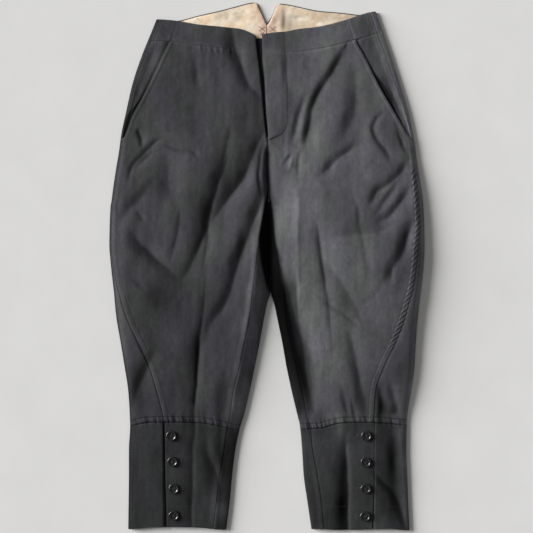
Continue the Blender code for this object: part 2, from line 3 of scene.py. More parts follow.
import bpy
import numpy as np
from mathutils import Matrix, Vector


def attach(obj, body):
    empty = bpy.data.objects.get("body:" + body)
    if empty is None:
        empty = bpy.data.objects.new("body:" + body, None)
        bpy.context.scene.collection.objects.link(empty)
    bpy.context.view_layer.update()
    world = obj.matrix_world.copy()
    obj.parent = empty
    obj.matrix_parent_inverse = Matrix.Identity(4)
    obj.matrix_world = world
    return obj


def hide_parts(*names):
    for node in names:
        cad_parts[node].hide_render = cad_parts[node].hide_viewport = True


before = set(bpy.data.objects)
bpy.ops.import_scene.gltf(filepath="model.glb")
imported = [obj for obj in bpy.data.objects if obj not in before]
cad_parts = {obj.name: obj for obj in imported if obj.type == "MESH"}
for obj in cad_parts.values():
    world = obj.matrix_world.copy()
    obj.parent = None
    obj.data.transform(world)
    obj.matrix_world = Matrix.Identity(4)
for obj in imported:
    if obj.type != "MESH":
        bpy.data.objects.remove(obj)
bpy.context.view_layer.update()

MM = 0.001


# The leg fronts
# Each is one piece of black cotton twill, cut from the waistband seam to the cuff seam and sewn to
# the back at the side seam and the inside leg seam. They were pressed with a crease down the
# front, and now lie in soft diagonal folds.

WALL = 1.2
SEAM = 0.3
FOLDED_EDGE = 4.4
LOWEST_TOP = 3.6
LOWEST_TOP_EASE = 0.6
OUTER_ROLL = 5.0
STEEPEST = 1.5
POCKET_END_LEVEL = 206.0
CROTCH_LEVEL = 107.0

# Where the edges and seams run across the leg at each level. crown is the height of its middle,
# drop says how far its inner edge comes down to the floor, and roll how gently.
LEG_COLUMNS = ("level", "outer", "side_seam", "front_edge", "inner", "crown", "drop", "roll")
RIGHT_LEG = (
    (432, -171, -166, -19.5, -1, 6.6, 0, 2),
    (403, -181, -176, -19.5, -1, 6.6, 0, 2),
    (367, -195.5, -190, -17.5, -1, 7, 0, 2),
    (346, -204, -198.5, -15, -1, 7.4, 0, 2),
    (300, -219.5, -214.5, -9.5, -0.5, 8, 0, 2),
    (250, -231, -226.5, -5, 0, 9, 0, 2),
    (212, -239, -235, -0.8, 1.5, 10, 0, 2),
    (200, -240.5, -236.5, 1.2, 1.4, 10.3, 0, 2.5),
    (182, -243, -239, 1, 1.2, 10.8, 0.9, 3.5),
    (165, -246, -242, 0.7, 0.9, 11, 1, 4),
    (122, -252.5, -248.5, 2.3, 2.5, 12.5, 1, 4.5),
    (106, -254.5, -250.5, 0.4, 3.1, 13, 1, 5),
    (98, -256, -252, -2, 3.5, 13.5, 1, 5.5),
    (64, -257.5, -253.6, -7, 4.2, 14.5, 1, 8),
    (35, -258, -254.2, -12, 4.9, 15.5, 1, 11),
    (7, -256, -251, -17, 5.4, 16, 1, 12),
    (-30, -252, -244.5, -22, 5.8, 16, 1, 12),
    (-42, -250.5, -241, -23.5, 5.8, 16, 1, 12),
    (-60, -249, -236, -25.5, 0.5, 15.5, 1, 12),
    (-84, -246.5, -228, -28, -4.5, 15, 1, 12),
    (-125, -239.5, -209.5, -37, -12, 14, 1, 12),
    (-165, -233, -191.5, -45, -20, 12.5, 1, 11),
    (-205, -227, -179, -55, -28.5, 11, 1, 10),
    (-245, -224.5, -169.5, -60.5, -38, 8.5, 1, 9),
    (-262, -224, -167.5, -64.5, -43.5, 7.4, 1, 8),
    (-302, -226, -166.5, -70, -52, 7.6, 1, 8),
    (-342, -226, -166, -77, -57, 7.6, 1, 8),
    (-385, -226.5, -165, -82.5, -61, 7.4, 1, 8),
    (-432, -227, -164, -88.5, -67, 7, 1, 8),
)
LEFT_LEG = (
    (432, 173, 163, -8.5, -0.7, 6.8, 0, 2),
    (416, 178, 168, -8.5, -0.7, 6.8, 0, 2),
    (390, 187, 176.5, -8.5, -0.7, 6.8, 0, 2),
    (367, 195, 185, -8.3, -0.7, 7, 0, 2),
    (346, 202, 193, -8, -0.7, 7.4, 0, 2),
    (300, 217, 209, -4, -0.2, 8.2, 0, 2),
    (250, 232, 227, -1.5, 0.3, 9.2, 0, 2),
    (212, 240, 236.2, 1.6, 1.8, 10.2, 0, 2),
    (200, 242, 238, 1.5, 1.7, 10.4, 0, 2.5),
    (182, 244, 240.2, 1.2, 1.4, 10.9, 0.9, 3.5),
    (165, 246.5, 242, 1, 1.2, 11.5, 1, 4),
    (122, 253.5, 246.5, 2.6, 2.8, 13, 1, 4.5),
    (106, 255.5, 248, 6.2, 3.4, 13.5, 1, 5),
    (98, 256, 248.5, 9, 3.8, 14, 1, 5.5),
    (64, 257.5, 250, 10, 4.5, 15, 1, 7),
    (35, 258, 246.5, 11.5, 5.2, 16, 1, 8),
    (7, 257, 244, 19, 5.7, 16.5, 1, 11),
    (-30, 253.5, 239, 28.5, 6.1, 16.5, 1, 13),
    (-42, 252, 236.5, 29.5, 6.1, 16.5, 1, 13),
    (-60, 249.5, 231, 30.5, 11.5, 16, 1, 12),
    (-84, 247, 224.5, 32, 16.5, 15.5, 1, 11),
    (-125, 243.5, 209, 39.5, 25, 14.5, 1, 10),
    (-165, 241.5, 190, 48.5, 32, 13, 1, 10),
    (-205, 236, 177, 57.5, 40.5, 11.5, 1, 10),
    (-245, 229.5, 175, 65, 50, 8.5, 1, 9),
    (-262, 228.5, 174.5, 70, 54, 7.4, 1, 8),
    (-302, 228, 174, 75, 57.5, 7.6, 1, 8),
    (-342, 229.5, 174, 82.5, 60, 7.6, 1, 8),
    (-385, 231, 172.5, 89, 66, 7.4, 1, 8),
    (-432, 233, 171, 93.5, 73, 7, 1, 8),
)
MOUTH_COLUMNS = ("level", "mouth")
RIGHT_MOUTH = (
    (403, -148), (367, -158.5), (346, -168.5), (310, -185.5), (270, -205.5), (243, -220),
    (214, -231), (206, -235.5),
)
LEFT_MOUTH = (
    (403, 133), (367, 145), (346, 157), (292, 184), (230, 220), (214, 228.5), (206, 236),
)
# How far the painted shade behind the pocket mouth reaches onto its facing.
MOUTH_SHADE_COLUMNS = ("level", "width")
RIGHT_MOUTH_SHADE = (
    (403, 0.5), (346, 1.2), (300, 2), (275, 3), (258, 6), (243, 9.5), (228, 8.5), (214, 5),
    (206, 2),
)
LEFT_MOUTH_SHADE = (
    (403, -3), (372, -2), (360, 1), (336, 0.5), (318, 2.5), (300, 8), (280, 9.5), (264, 6),
    (246, 2), (222, 0.5), (206, -2),
)
# The levels of the seams and edges that run across.
SEAM_COLUMNS = ("across", "back_top", "front_top", "waist_seam", "cuff_seam", "hem")
RIGHT_SEAMS = (
    (-258, 400, 400, 366, -262, -430),
    (-227, 400, 400, 366, -261.5, -430),
    (-195, 401.5, 401.5, 367, -255.5, -427),
    (-181, 403, 403, 368, -255, -426.5),
    (-153, 401, 401, 366.5, -255, -426),
    (-110, 410.5, 394, 359.5, -256, -427),
    (-77, 418, 391, 356, -261, -430.5),
    (-43, 427, 387, 353, -268, -432),
    (-27, 431, 381, 351.5, -268, -432),
    (-18, 432, 376, 350.5, -268, -432),
    (-14, 424, 375, 350, -268, -432),
    (-1, 396, 376.5, 350, -268, -432),
)
LEFT_SEAMS = (
    (-12, 396, 376.5, 350, -266, -432),
    (-1, 396, 379, 350, -266, -432),
    (14, 424, 381, 349.5, -266, -432),
    (17, 430, 381.3, 349.5, -266, -432),
    (29, 429, 382.5, 349, -266, -432),
    (52, 424.5, 387, 350, -266, -432),
    (83, 418, 390.5, 354, -265, -429.5),
    (123, 414.5, 400, 363, -256, -431),
    (156, 411, 411, 373, -255, -430),
    (178, 416, 416, 379, -255.5, -429.5),
    (198, 416, 416, 382, -257, -429),
    (233, 416, 416, 382, -260, -432),
    (258, 416, 416, 382, -262, -432),
)

# Folds, walked downwards: each sinks to its depth, or stands up where the depth is less than 0.
# west and east are the widths of its flanks and keen says how sharp it is, from 0 to 1. A point
# of the route has its own share of the depth.
FOLD_COLUMNS = ("depth", "west", "east", "keen", "route")
FOLD_REACH = 3.2
FOLD_END_WIDTH = 0.6
# The spread of each fold's painted shade: narrow on the flank that faces the light and wider on the
# shaded flank; the depth at which a hollow is painted fully dark; how pale a standing fold is
# painted as a highlight; and how dark the hollows are painted.
LIT_SIDE, LIT_SIDE_SOFT, LIT_SIDE_KEEN = 2.2, 1.15, 0.6
SHADED_SIDE = 0.62
FULL_SHADE_DEPTH = 3.0
MOST_CREST_HIGHLIGHT = 0.6
HOLLOW_SHADE = 0.62
RIGHT_FOLDS = (
    (4.4, 20, 14, 0.4, ((-4, 225, 0.2), (-19, 189, 0.8), (-30, 165, 0.9), (-43, 137, 1),
        (-58, 117, 1), (-71, 101, 1), (-82, 85, 0.8), (-91, 68, 0.3))),
    (4.8, 22, 14, 0.8, ((-63, 181, 0.1), (-69, 160, 0.5), (-78, 140, 0.9), (-84, 116, 1),
        (-91, 98, 1), (-96, 78, 1), (-99, 59, 1), (-107, 39, 0.6), (-115, 20, 0.2))),
    (4.2, 8, 6, 1, ((-92, 59, 0.12), (-94, 33, 0.3), (-99, 10, 0.08), (-104, -31, 0.02),
        (-105, -75, 0.08), (-109, -101, 0.3), (-112, -137, 0.54), (-115, -186, 0.46),
        (-118, -227, 0.36), (-120, -253, 0.35))),
    (-0.8, 1.6, 2.2, 1, ((-93, 59, 0.4), (-95, 39, 1), (-98, 16, 1.3), (-101, -10, 1.1),
        (-103, -36, 0.9), (-105, -72, 0.5), (-108, -101, 0.3), (-111, -137, 0.1),
        (-115, -186, 0.1), (-118, -227, 0.3), (-120, -253, 0.4))),
    (3.8, 12, 14, 0.25, ((-3, 150, 0.1), (-7, 116, 0.5), (-17, 88, 0.9), (-29, 59, 1),
        (-38, 31, 1), (-48, 3, 1), (-56, -23, 0.95), (-63, -46, 0.8), (-74, -68, 0.6),
        (-89, -91, 0.45), (-100, -112, 0.3), (-109, -137, 0.1))),
    (-1.8, 8, 8, 0.5, ((-2, 140, 0.2), (-8, 83, 0.8), (-15, 42, 1), (-18, 7, 1), (-23, -39, 1),
        (-31, -88, 0.9), (-39, -129, 0.6), (-47, -178, 0.5), (-57, -227, 0.4), (-62, -251, 0.2))),
    (4.4, 13, 11, 0.5, ((-58, 388, 0.2), (-55, 362, 1), (-47, 339, 1), (-40, 319, 0.7),
        (-30, 297, 0.5), (-14, 279, 0.3), (-1, 261, 0))),
    (1.2, 8, 11, 0.1, ((-123, 352, 0.2), (-118, 326, 0.8), (-115, 306, 1), (-107, 287, 0.5),
        (-99, 274, 0))),
    (3, 2.4, 7, 1, ((-210, 225, 0.1), (-209, 218, 1), (-206, 209, 1), (-205, 199, 0.5))),
    (1.8, 4, 8, 0.6, ((-170, 209, 0.1), (-184, 202, 0.8), (-195, 191, 1), (-206, 178, 1),
        (-218, 165, 0.9), (-223, 152, 0.7), (-224, 137, 0.1))),
    (1.3, 4, 8, 0.7, ((-170, 196, 0.1), (-154, 191, 0.9), (-138, 187, 1), (-122, 186, 1),
        (-110, 173, 0.2))),
    (0.9, 4, 10, 0.8, ((-61, 228, 0.1), (-63, 209, 1), (-66, 189, 1), (-71, 173, 0.8),
        (-78, 155, 0.1))),
    (2, 9, 11, 0.5, ((-102, 49, 0.3), (-113, 23, 1), (-122, 7, 1), (-131, -10, 0.8),
        (-143, -26, 0.1))),
    (1, 4, 10, 0.8, ((-141, 98, 0.1), (-143, 72, 1), (-148, 46, 1), (-154, 20, 0.7),
        (-157, 3, 0.1))),
    (3, 18, 16, 0.2, ((-221, 57, 0.2), (-208, 37, 0.9), (-193, 23, 1), (-179, 7, 0.8),
        (-161, -7, 0.7), (-141, -23, 0.2))),
    (1.3, 3, 5, 0.5, ((-211, 90, 0.2), (-205, 80, 1), (-198, 70, 0.2))),
    (1.1, 3, 6, 0.6, ((-185, 187, 0.1), (-195, 178, 1), (-206, 168, 0.9), (-216, 156, 0.1))),
    (1, 2.5, 6, 0.8, ((-242, 109, 0.1), (-244, 98, 1), (-244, 86, 0.2))),
    (1.6, 9, 14, 0.1, ((-185, 143, 0.1), (-200, 121, 0.8), (-216, 103, 1), (-229, 91, 0.8),
        (-241, 68, 0.2))),
    (2.4, 12, 14, 0.2, ((-182, -137, 0.1), (-192, -156, 0.8), (-201, -178, 1), (-210, -199, 1),
        (-219, -225, 0.3))),
    (1.2, 4, 6, 0.3, ((-213, -116, 0.1), (-203, -134, 1), (-195, -153, 0.3))),
    (1.5, 7, 4, 1, ((-118, -258, 0.8), (-120, -284, 0.9), (-122, -333, 1), (-123, -381, 1),
        (-123, -430, 0.9))),
    (3, 14, 10, 0.2, ((-100, -277, 0.1), (-96, -313, 0.8), (-86, -333, 1), (-79, -357, 1),
        (-74, -385, 0.2))),
    (-1.4, 6, 9, 0.6, ((-67, -264, 0.5), (-72, -300, 1), (-78, -349, 1), (-82, -381, 0.8),
        (-83, -425, 0.4))),
    (1.4, 12, 22, 0.2, ((-166, 186, 0.1), (-162, 153, 1), (-161, 132, 1), (-153, 104, 0.2))),
    (1.8, 4, 5, 0.5, ((-4, 197, 0.2), (-11, 176, 0.9), (-13, 153, 1), (-12, 134, 0.8),
        (-11, 114, 0.2))),
    (2.2, 5, 7, 1, ((-82, 117, 0.1), (-90, 98, 0.7), (-94, 78, 1), (-96, 59, 1), (-97, 37, 0.7),
        (-100, 7, 0.5), (-102, -39, 0.5), (-104, -72, 0.5), (-107, -101, 0.5), (-111, -137, 0.6),
        (-115, -183, 0.6), (-118, -222, 0.5))),
    (0.8, 3, 5, 0.5, ((-218, -20, 0.2), (-208, -33, 1), (-198, -41, 0.2))),
)
LEFT_FOLDS = (
    (4.2, 6, 21, 0.3, ((125, 352, 0.3), (120, 341, 0.9), (111, 326, 1), (102, 310, 1),
        (92, 295, 1), (84, 282, 1), (77, 269, 1), (72, 253, 1), (70, 235, 1), (66, 217, 0.9),
        (61, 197, 0.2))),
    (1.7, 5, 10, 0.2, ((61, 282, 0.1), (56, 261, 0.8), (51, 241, 1), (46, 220, 0.8),
        (40, 200, 0.2))),
    (1.9, 13, 22, 0, ((139, 336, 0.1), (142, 310, 0.7), (142, 284, 0.9), (142, 264, 1),
        (139, 246, 1), (134, 230, 0.9), (121, 210, 0.2))),
    (2.2, 8, 13, 0.2, ((142, 209, 0.1), (138, 192, 0.8), (125, 183, 1), (111, 173, 1),
        (100, 160, 0.9), (87, 148, 0.2))),
    (1.7, 4, 8, 0.3, ((190, 249, 0.2), (178, 240, 0.8), (173, 227, 1), (177, 210, 1),
        (186, 196, 1), (196, 183, 0.9), (200, 170, 0.1))),
    (1.5, 3.5, 6, 0.4, ((213, 228, 0.2), (217, 209, 1), (222, 196, 1), (229, 184, 0.2))),
    (2.6, 8, 11, 0.3, ((229, 171, 0.2), (219, 155, 1), (206, 142, 1), (193, 132, 0.7),
        (180, 124, 0.9), (172, 109, 0.8), (165, 96, 0.1))),
    (2.4, 7, 10, 0.3, ((234, 129, 0.2), (222, 111, 1), (209, 95, 1), (196, 80, 0.8),
        (180, 72, 0.2))),
    (1.7, 5, 8, 0.3, ((217, 140, 0.2), (203, 121, 0.9), (190, 103, 0.8), (177, 85, 0.1))),
    (3.4, 12, 10, 0.2, ((240, 82, 0.1), (235, 67, 0.5), (230, 51, 0.9), (224, 33, 1),
        (217, 16, 0.9), (206, 2, 0.8), (201, -13, 0.9), (200, -28, 0.1))),
    (0.9, 4, 8, 0.9, ((136, 127, 0.1), (144, 101, 0.8), (149, 75, 1), (154, 49, 1), (159, 23, 0.9),
        (162, -3, 0.2))),
    (1, 22, 10, 0.9, ((201, 65, 0.2), (185, 57, 1), (165, 54, 1), (139, 51, 0.9), (116, 49, 0.7),
        (94, 47, 0.1))),
    (-1, 15, 7, 0.9, ((49, 130, 0.2), (51, 99, 0.9), (51, 59, 1), (51, 18, 0.8), (51, -23, 0.8),
        (52, -65, 0.8), (52, -98, 0.1))),
    (1, 8, 12, 1, ((76, 88, 0.1), (82, 55, 1), (87, 29, 1), (90, 3, 1), (95, -26, 0.8),
        (100, -59, 0.7), (103, -91, 0.6), (108, -129, 0.4), (113, -160, 0.1))),
    (-0.4, 1.4, 2.6, 1, ((82, 55, 0.5), (87, 29, 1), (91, 3, 1), (96, -26, 1), (100, -59, 0.9),
        (104, -91, 0.8), (109, -129, 0.6), (113, -160, 0.3))),
    (1, 5, 6, 0.5, ((85, -49, 0.1), (100, -62, 1), (120, -75, 1), (139, -91, 0.9),
        (149, -101, 0.1))),
    (1.3, 20, 10, 0.7, ((94, 10, 0.1), (110, -13, 0.8), (129, -42, 1), (142, -65, 1),
        (156, -91, 0.2))),
    (3.8, 16, 22, 0.2, ((20, 16, 0.2), (32, -31, 0.8), (41, -68, 1), (50, -104, 1),
        (58, -140, 0.9), (64, -178, 0.6), (72, -225, 0.2))),
    (1.8, 9, 11, 0.2, ((131, -98, 0.1), (139, -129, 0.8), (144, -156, 1), (151, -186, 1),
        (157, -215, 0.9), (164, -248, 0.3))),
    (1.1, 5, 8, 0.2, ((116, -186, 0.1), (126, -218, 0.8), (133, -246, 0.6))),
    (1.1, 3, 6, 0.5, ((138, -218, 0.3), (142, -238, 1), (144, -253, 0.5))),
    (2.4, 4, 11, 0.3, ((182, -186, 0.1), (185, -209, 0.8), (188, -227, 1), (185, -244, 0.6))),
    (2.2, 6, 10, 0.2, ((200, -191, 0.1), (206, -215, 0.8), (211, -238, 0.5))),
    (4.8, 13, 4, 1, ((129, -271, 0.05), (129, -308, 0.5), (130, -333, 1), (131, -365, 1),
        (131, -398, 1), (131, -430, 1))),
    (3, 7, 16, 0.4, ((177, -339, 0.3), (191, -354, 0.9), (204, -368, 1), (214, -388, 1),
        (222, -411, 0.9), (229, -430, 0.6))),
    (1.1, 8, 13, 0, ((200, -258, 0.2), (204, -284, 0.9), (206, -308, 0.9), (208, -336, 0.3))),
    (1, 3, 5, 0.5, ((41, 199, 0.2), (50, 194, 1), (59, 189, 0.2))),
    (1, 2.5, 5, 0.6, ((56, 189, 0.2), (53, 178, 1), (50, 161, 0.9), (50, 143, 0.2))),
    (1.1, 2.5, 5, 0.6, ((41, 183, 0.2), (33, 176, 1), (23, 166, 0.2))),
    (-0.9, 3, 3, 0.5, ((36, 183, 0.2), (28, 173, 1), (20, 161, 0.2))),
    (-0.8, 3, 3, 0.5, ((42, 179, 0.2), (39, 166, 1), (34, 153, 0.2))),
    (0.9, 3, 4, 0.5, ((28, 153, 0.2), (37, 152, 1), (45, 153, 0.2))),
    (-0.9, 3, 3, 0.5, ((2, 202, 0.3), (11, 194, 1), (24, 186, 0.2))),
    (1.2, 2.5, 4, 0.6, ((185, 315, 0.1), (193, 305, 1), (198, 295, 0.3))),
    (1.2, 2.5, 4, 0.6, ((198, 295, 0.1), (204, 284, 1), (206, 272, 0.3))),
    (1.1, 2.5, 4, 0.6, ((208, 274, 0.2), (213, 261, 1), (216, 249, 0.2))),
    (1.3, 3.5, 5, 1, ((82, 65, 0.1), (85, 46, 0.9), (88, 26, 1), (91, 3, 1), (94, -23, 0.8),
        (98, -49, 0.6), (102, -75, 0.4), (105, -104, 0.2))),
)

# Soft patches painted paler than the rest, or darker where the change is under 0: the middle, the
# reach across and along, and the change. Some stand for fading and some for light and shade.
RIGHT_SPOTS = (
    (-137, 165, 30, 45, 0.22), (-190, 85, 30, 28, 0.35), (-231, 58, 18, 30, 0.2),
    (-180, 345, 12, 34, 0.75), (-207, 303, 9, 16, 0.2), (-40, 345, 12, 22, 0.2),
    (-150, -40, 60, 55, -0.22), (-142, -190, 30, 55, -0.12), (-40, 20, 16, 60, 0.15),
    (-136, 246, 1.6, 4, 0.6), (-130, 242, 4, 1.6, 0.5), (-158, 220, 4, 2, -0.3),
    (-106, 220, 2, 3, -0.3), (-140, 250, 60, 90, 0.1), (-174, -58, 24, 32, -0.18),
    (-215, -185, 14, 30, -0.3), (-206, -218, 12, 24, -0.3), (-36, 240, 30, 60, -0.12),
    (-16, 272, 12, 36, -0.2), (-20, -106, 8, 24, 1.3), (-23, -152, 8, 26, 1.4),
    (-32, -200, 7, 26, 1), (-68, 142, 8, 20, -0.42), (-76, -195, 13, 36, -0.22),
    (-174, -200, 16, 40, -0.15), (-170, -48, 24, 50, -0.1), (-11, 59, 8, 20, -0.24),
    (-46, 319, 9, 15, -0.18), (-62, 120, 22, 36, -0.13), (-74, -345, 7, 50, -0.5),
    (-97, -330, 10, 24, -0.25), (-80, -305, 12, 30, -0.4), (-186, -42, 18, 26, -0.16),
    (-76, 80, 15, 40, -0.42), (-174, 320, 14, 20, 0.2), (-80, 270, 16, 26, -0.12),
    (-42, -230, 12, 25, 1.35), (-78, -250, 10, 66, -0.55), (-106, -22, 14, 28, 0.25),
    (-10, -66, 7, 26, 0.62), (-129, -140, 9, 40, -0.25), (-14, 192, 12, 24, -0.3),
    (-72, -398, 9, 14, 1.3), (-55, 70, 16, 40, 0.2), (-174, -50, 34, 36, -0.1),
    (-116, -137, 8, 30, -0.5), (-44, 38, 9, 26, -0.44), (-142, -75, 14, 26, -0.18),
    (-78, -84, 12, 36, -0.2), (-180, 106, 20, 24, 0.15), (-92, 190, 22, 18, 0.14),
    (-112, -40, 10, 34, 0.12), (-190, -310, 26, 50, -0.12), (-142, 385, 16, 16, 0.14),
    (-44, -137, 8, 30, -0.25), (-174, -362, 16, 34, -0.25), (-142, -362, 10, 30, -0.2),
    (-170, -300, 12, 16, -0.2),
)
LEFT_SPOTS = (
    (41, 189, 24, 22, 0.25), (48, 170, 56, 170, 0.6), (30, 90, 16, 50, 0.15),
    (27.5, 320, 4.5, 38, -0.5), (85, -10, 22, 60, -0.1), (118, -60, 26, 40, -0.14),
    (92, -178, 24, 52, 0.3), (80, -100, 24, 40, 0.25), (150, 190, 60, 60, 0.12),
    (170, -215, 40, 50, -0.45), (236, 30, 14, 60, -0.34), (54, 284, 14, 52, 0.38),
    (54, 26, 10, 26, 0.2), (122, 225, 14, 20, -0.25), (213, 30, 13, 26, -0.45),
    (215, -16, 16, 26, -0.3), (185, -300, 18, 50, -0.25), (222, -320, 12, 70, 0.7),
    (222, -275, 10, 20, 0.2), (130, -300, 14, 26, 0.25), (118, -392, 9, 50, -0.7),
    (207, -385, 11, 36, -0.6), (205, -318, 9, 36, -0.55), (95, 330, 30, 50, 0.15),
    (160, 30, 50, 60, 0.1), (124, -385, 6, 44, -0.5), (20, 255, 12, 26, 0.18),
    (165, 84, 24, 20, -0.15), (188, 270, 10, 24, 0.2), (88, 268, 17, 36, -0.48),
    (197, 303, 8, 24, -0.45), (38, -50, 9, 42, -0.3), (62, -140, 9, 30, -0.25),
    (132, 238, 14, 12, -0.12), (30, 28, 12, 40, 0.1), (12, 124, 13, 76, -0.34),
    (124, 316, 14, 24, -0.35), (112, 202, 18, 24, -0.25), (209, -72, 20, 60, -0.22),
    (180, -125, 18, 30, -0.2), (54, -202, 12, 30, -0.3), (201, -172, 24, 50, -0.24),
    (86, -252, 12, 26, -0.45), (78, 182, 18, 32, 0.34), (22, 138, 14, 52, -0.16),
    (135, 172, 26, 22, -0.14), (175, 270, 20, 40, 0.2), (184, -237, 11, 26, -0.38),
    (119, -265, 9, 16, 0.7), (217, 112, 10, 26, -0.2), (119, -122, 14, 34, -0.22),
    (186, -398, 14, 18, -0.25), (200, -332, 14, 50, -0.32), (119, 385, 16, 14, 0.15),
    (217, -267, 10, 14, 0.68), (86, 222, 8, 14, -0.22), (119, 352, 14, 14, -0.18),
    (217, 91, 8, 20, -0.18), (214, -6, 10, 46, -0.18), (119, -365, 12, 16, 0.24),
    (119, -232, 12, 36, 0.14), (215, 256, 8, 30, -0.24), (204, -235, 13, 13, -0.4),
    (52, -232, 9, 18, -0.55), (205, 282, 5, 20, -0.35), (20, 42, 7, 20, -0.25),
    (218, 160, 6, 24, -0.15), (217, -170, 12, 22, -0.35),
)
# Where the legs lie against each other the cloth is painted dark as the shadow between them: the
# edge of that painted shadow, how softly it ends, and how dark it is.
SHADE_COLUMNS = ("level", "edge", "soft", "dark")
RIGHT_SHADE = (
    (432, 40, 4, 0.05), (150, 20, 3, 0.05), (124, 2, 2, 0.04), (107, -1, 3, 0.04),
    (75, -7, 4, 0.03), (42, -11, 5, 0.03), (10, -8, 5, 0.03), (-15, -3, 5, 0.04),
    (-39, 4, 6, 0.08), (-58, 14, 9, 0.2), (-432, 20, 9, 0.5),
)
LEFT_SHADE = (
    (432, -60, 3, 0.05), (130, -20, 3, 0.05), (107, 5, 4, 0.02), (75, 9, 4, 0.01),
    (42, 12, 4, 0.01), (10, 17, 9, 0.01), (-23, 22, 8, 0.01), (-55, 29, 9, 0.01),
    (-88, 36, 10, 0.01), (-120, 41, 12, 0.02), (-153, 49, 16, 0.04), (-186, 58, 18, 0.12),
    (-218, 64, 16, 0.28), (-259, 64, 12, 0.6), (-290, 68, 8, 0.7), (-432, 82, 8, 0.75),
)
# A second, softer band of painted shadow by the left leg's inner edge, in the same columns.
LEFT_DUSK = (
    (0, 36, 10, 1), (-18, 43, 8, 0.75), (-39, 46, 5, 0.42), (-75, 48, 5, 0.38),
    (-105, 51, 9, 0.42), (-140, 60, 14, 0.5), (-180, 70, 16, 0.7), (-220, 76, 14, 1),
)

# Unevenness in layers: its size, its reach across and along, and its seed.
CLOTH_UNEVENNESS = ((0.55, 44, 80, 11), (0.36, 21, 36, 12), (0.20, 9, 14, 13), (0.07, 4, 6, 14))
FOLD_WANDER_ACROSS = ((1.2, 20, 26, 31), (0.4, 8, 11, 32))
FOLD_WANDER_ALONG = ((1.2, 20, 20, 33),)
FOLD_CHANCE = ((0.25, 22, 26, 34),)
SEAM_CHANCE = ((0.4, 60, 23, 5),)
GATHER_CHANCE = ((0.4, 24, 60, 5),)

# Parts of the leg where marks show: each measure grows from 0 at a place to 1 over a length.
ON_LEG = (("waist", 0, 3), ("cuff", 0, 3))
OFF_FLY = (20, 40)
LEAST_BY_FLY = 0.15
ZONES = {
    "everywhere": (),
    "beside_facing": (("level", POCKET_END_LEVEL, 10),),
    "pocket_edges": (("level", POCKET_END_LEVEL - 14, 10),),
    "by_mouth": (("level", POCKET_END_LEVEL + 2, 8),) + ON_LEG,
    "below_pocket": (("level", POCKET_END_LEVEL - 4, -8),) + ON_LEG,
    "below_crotch": (("level", CROTCH_LEVEL, -20),),
    "closing": (("level", CROTCH_LEVEL, 30),),
    "inner_leg": (("level", 5, 20), ("level", CROTCH_LEVEL, -10)),
    "under_fly": (("level", CROTCH_LEVEL - 10, 10), ("level", 212, -30)),
}
# Marks that follow a seam: the seam, the zone, the strength on the right leg and on the left, then
# the place and width of a line, or the start, end and softness of a band. First the grooves of
# the seams and the ridges that their allowances press through.
SEAM_RELIEF = (
    ("outseam", "leg", -0.55, -0.35, 0, 1.3),
    ("outseam", "cuff", -0.165, -0.105, 0, 1.3),
    ("outseam", "beside_facing", -0.35, 0, -1.8, 0.9),
    ("outseam", "beside_facing", -0.35, 0, 4.5, 0.9),
    ("outseam", "below_pocket", 0.12, 0.32, 0.2, 8.5, 2),
    ("outseam", "below_pocket", -0.09, -0.24, 9, 0.9),
    ("inseam_west", "below_crotch", 0.25, 0.65, 0.2, 7, 5),
    ("inseam_west", "below_crotch", -0.35, -0.35, -0.4, 0.9),
    ("waist", "off_fly", -0.275, -0.29, 0, 1.3),
    ("cuff", "everywhere", -0.8, -0.8, 0, 1.3),
    ("cuff", "everywhere", 0.6, 0.6, 0.8, 8.2, 1.6),
    ("cuff", "everywhere", -0.5, -0.5, 8.6, 0.9),
    ("mouth", "by_mouth", 0.3, 0.6, 0, 6, 2),
    ("mouth", "by_mouth", -0.2, -0.2, 5.4, 0.9),
    ("mouth", "by_mouth", -0.8, -0.8, -1.5, 1.6),
)
# Painted shade in the folds of the sewing; where the strength is under 0, a painted highlight.
SEAM_SHADE = (
    ("outseam", "leg", 0.4, 0.1, 0, 1.2),
    ("outseam", "cuff", 0, -0.5, 0.7, 0.9),
    ("cuff", "everywhere", 0.35, 0.35, 0, 1.2),
    ("cuff", "everywhere", 0.1, 0.22, 0, 8.4, 2),
    ("cuff", "everywhere", -0.15, -0.15, 6.6, 0.9),
    ("cuff", "everywhere", 0.45, 0.45, 8.8, 1),
)
MOST_SEAM_SHADE = 0.9
# Paler lines along the edges that were pressed beside the pocket, and darker lines between them.
POCKET_EDGE_LINES = (
    ("mouth", "pocket_edges", 0.06, 0.34, 0.5, 0.9),
    ("mouth", "pocket_edges", 0.042, 0.238, 5, 0.9),
    ("mouth", "pocket_edges", -0.048, -0.272, 2.6, 0.9),
    ("mouth", "pocket_edges", -0.036, -0.204, 6.6, 0.9),
    ("outseam", "pocket_edges", 0, 0.34, 9, 1),
    ("outseam", "pocket_edges", 0, 0.34, 2.4, 1),
    ("outseam", "pocket_edges", 0, 0.272, -20, 9, 3),
)
# Painted shade at the closing and along the inside leg seam.
INSEAM_SHADE = (
    ("inseam", "closing", 0.8, 0, 0, 2.2),
    ("inseam", "closing", 0.2, 0, 0, 14),
    ("inseam", "inner_leg", 0, 0.68, 0.5, 5.5),
    ("inseam", "under_fly", 0, 0.74, 1.5, 7),
)
PAINTED_MOUTH_SHADE, PAINTED_MOUTH_SHADE_GROWS = 0.80, 4.0
PAINTED_MOUTH_SHADE_FROM, PAINTED_MOUTH_SHADE_TO = (-1.2, 1.2), (-1.5, 3)
PLACKET_FROM, PLACKET_TO = (-1.4, 1.4), (2.9, -1.2)
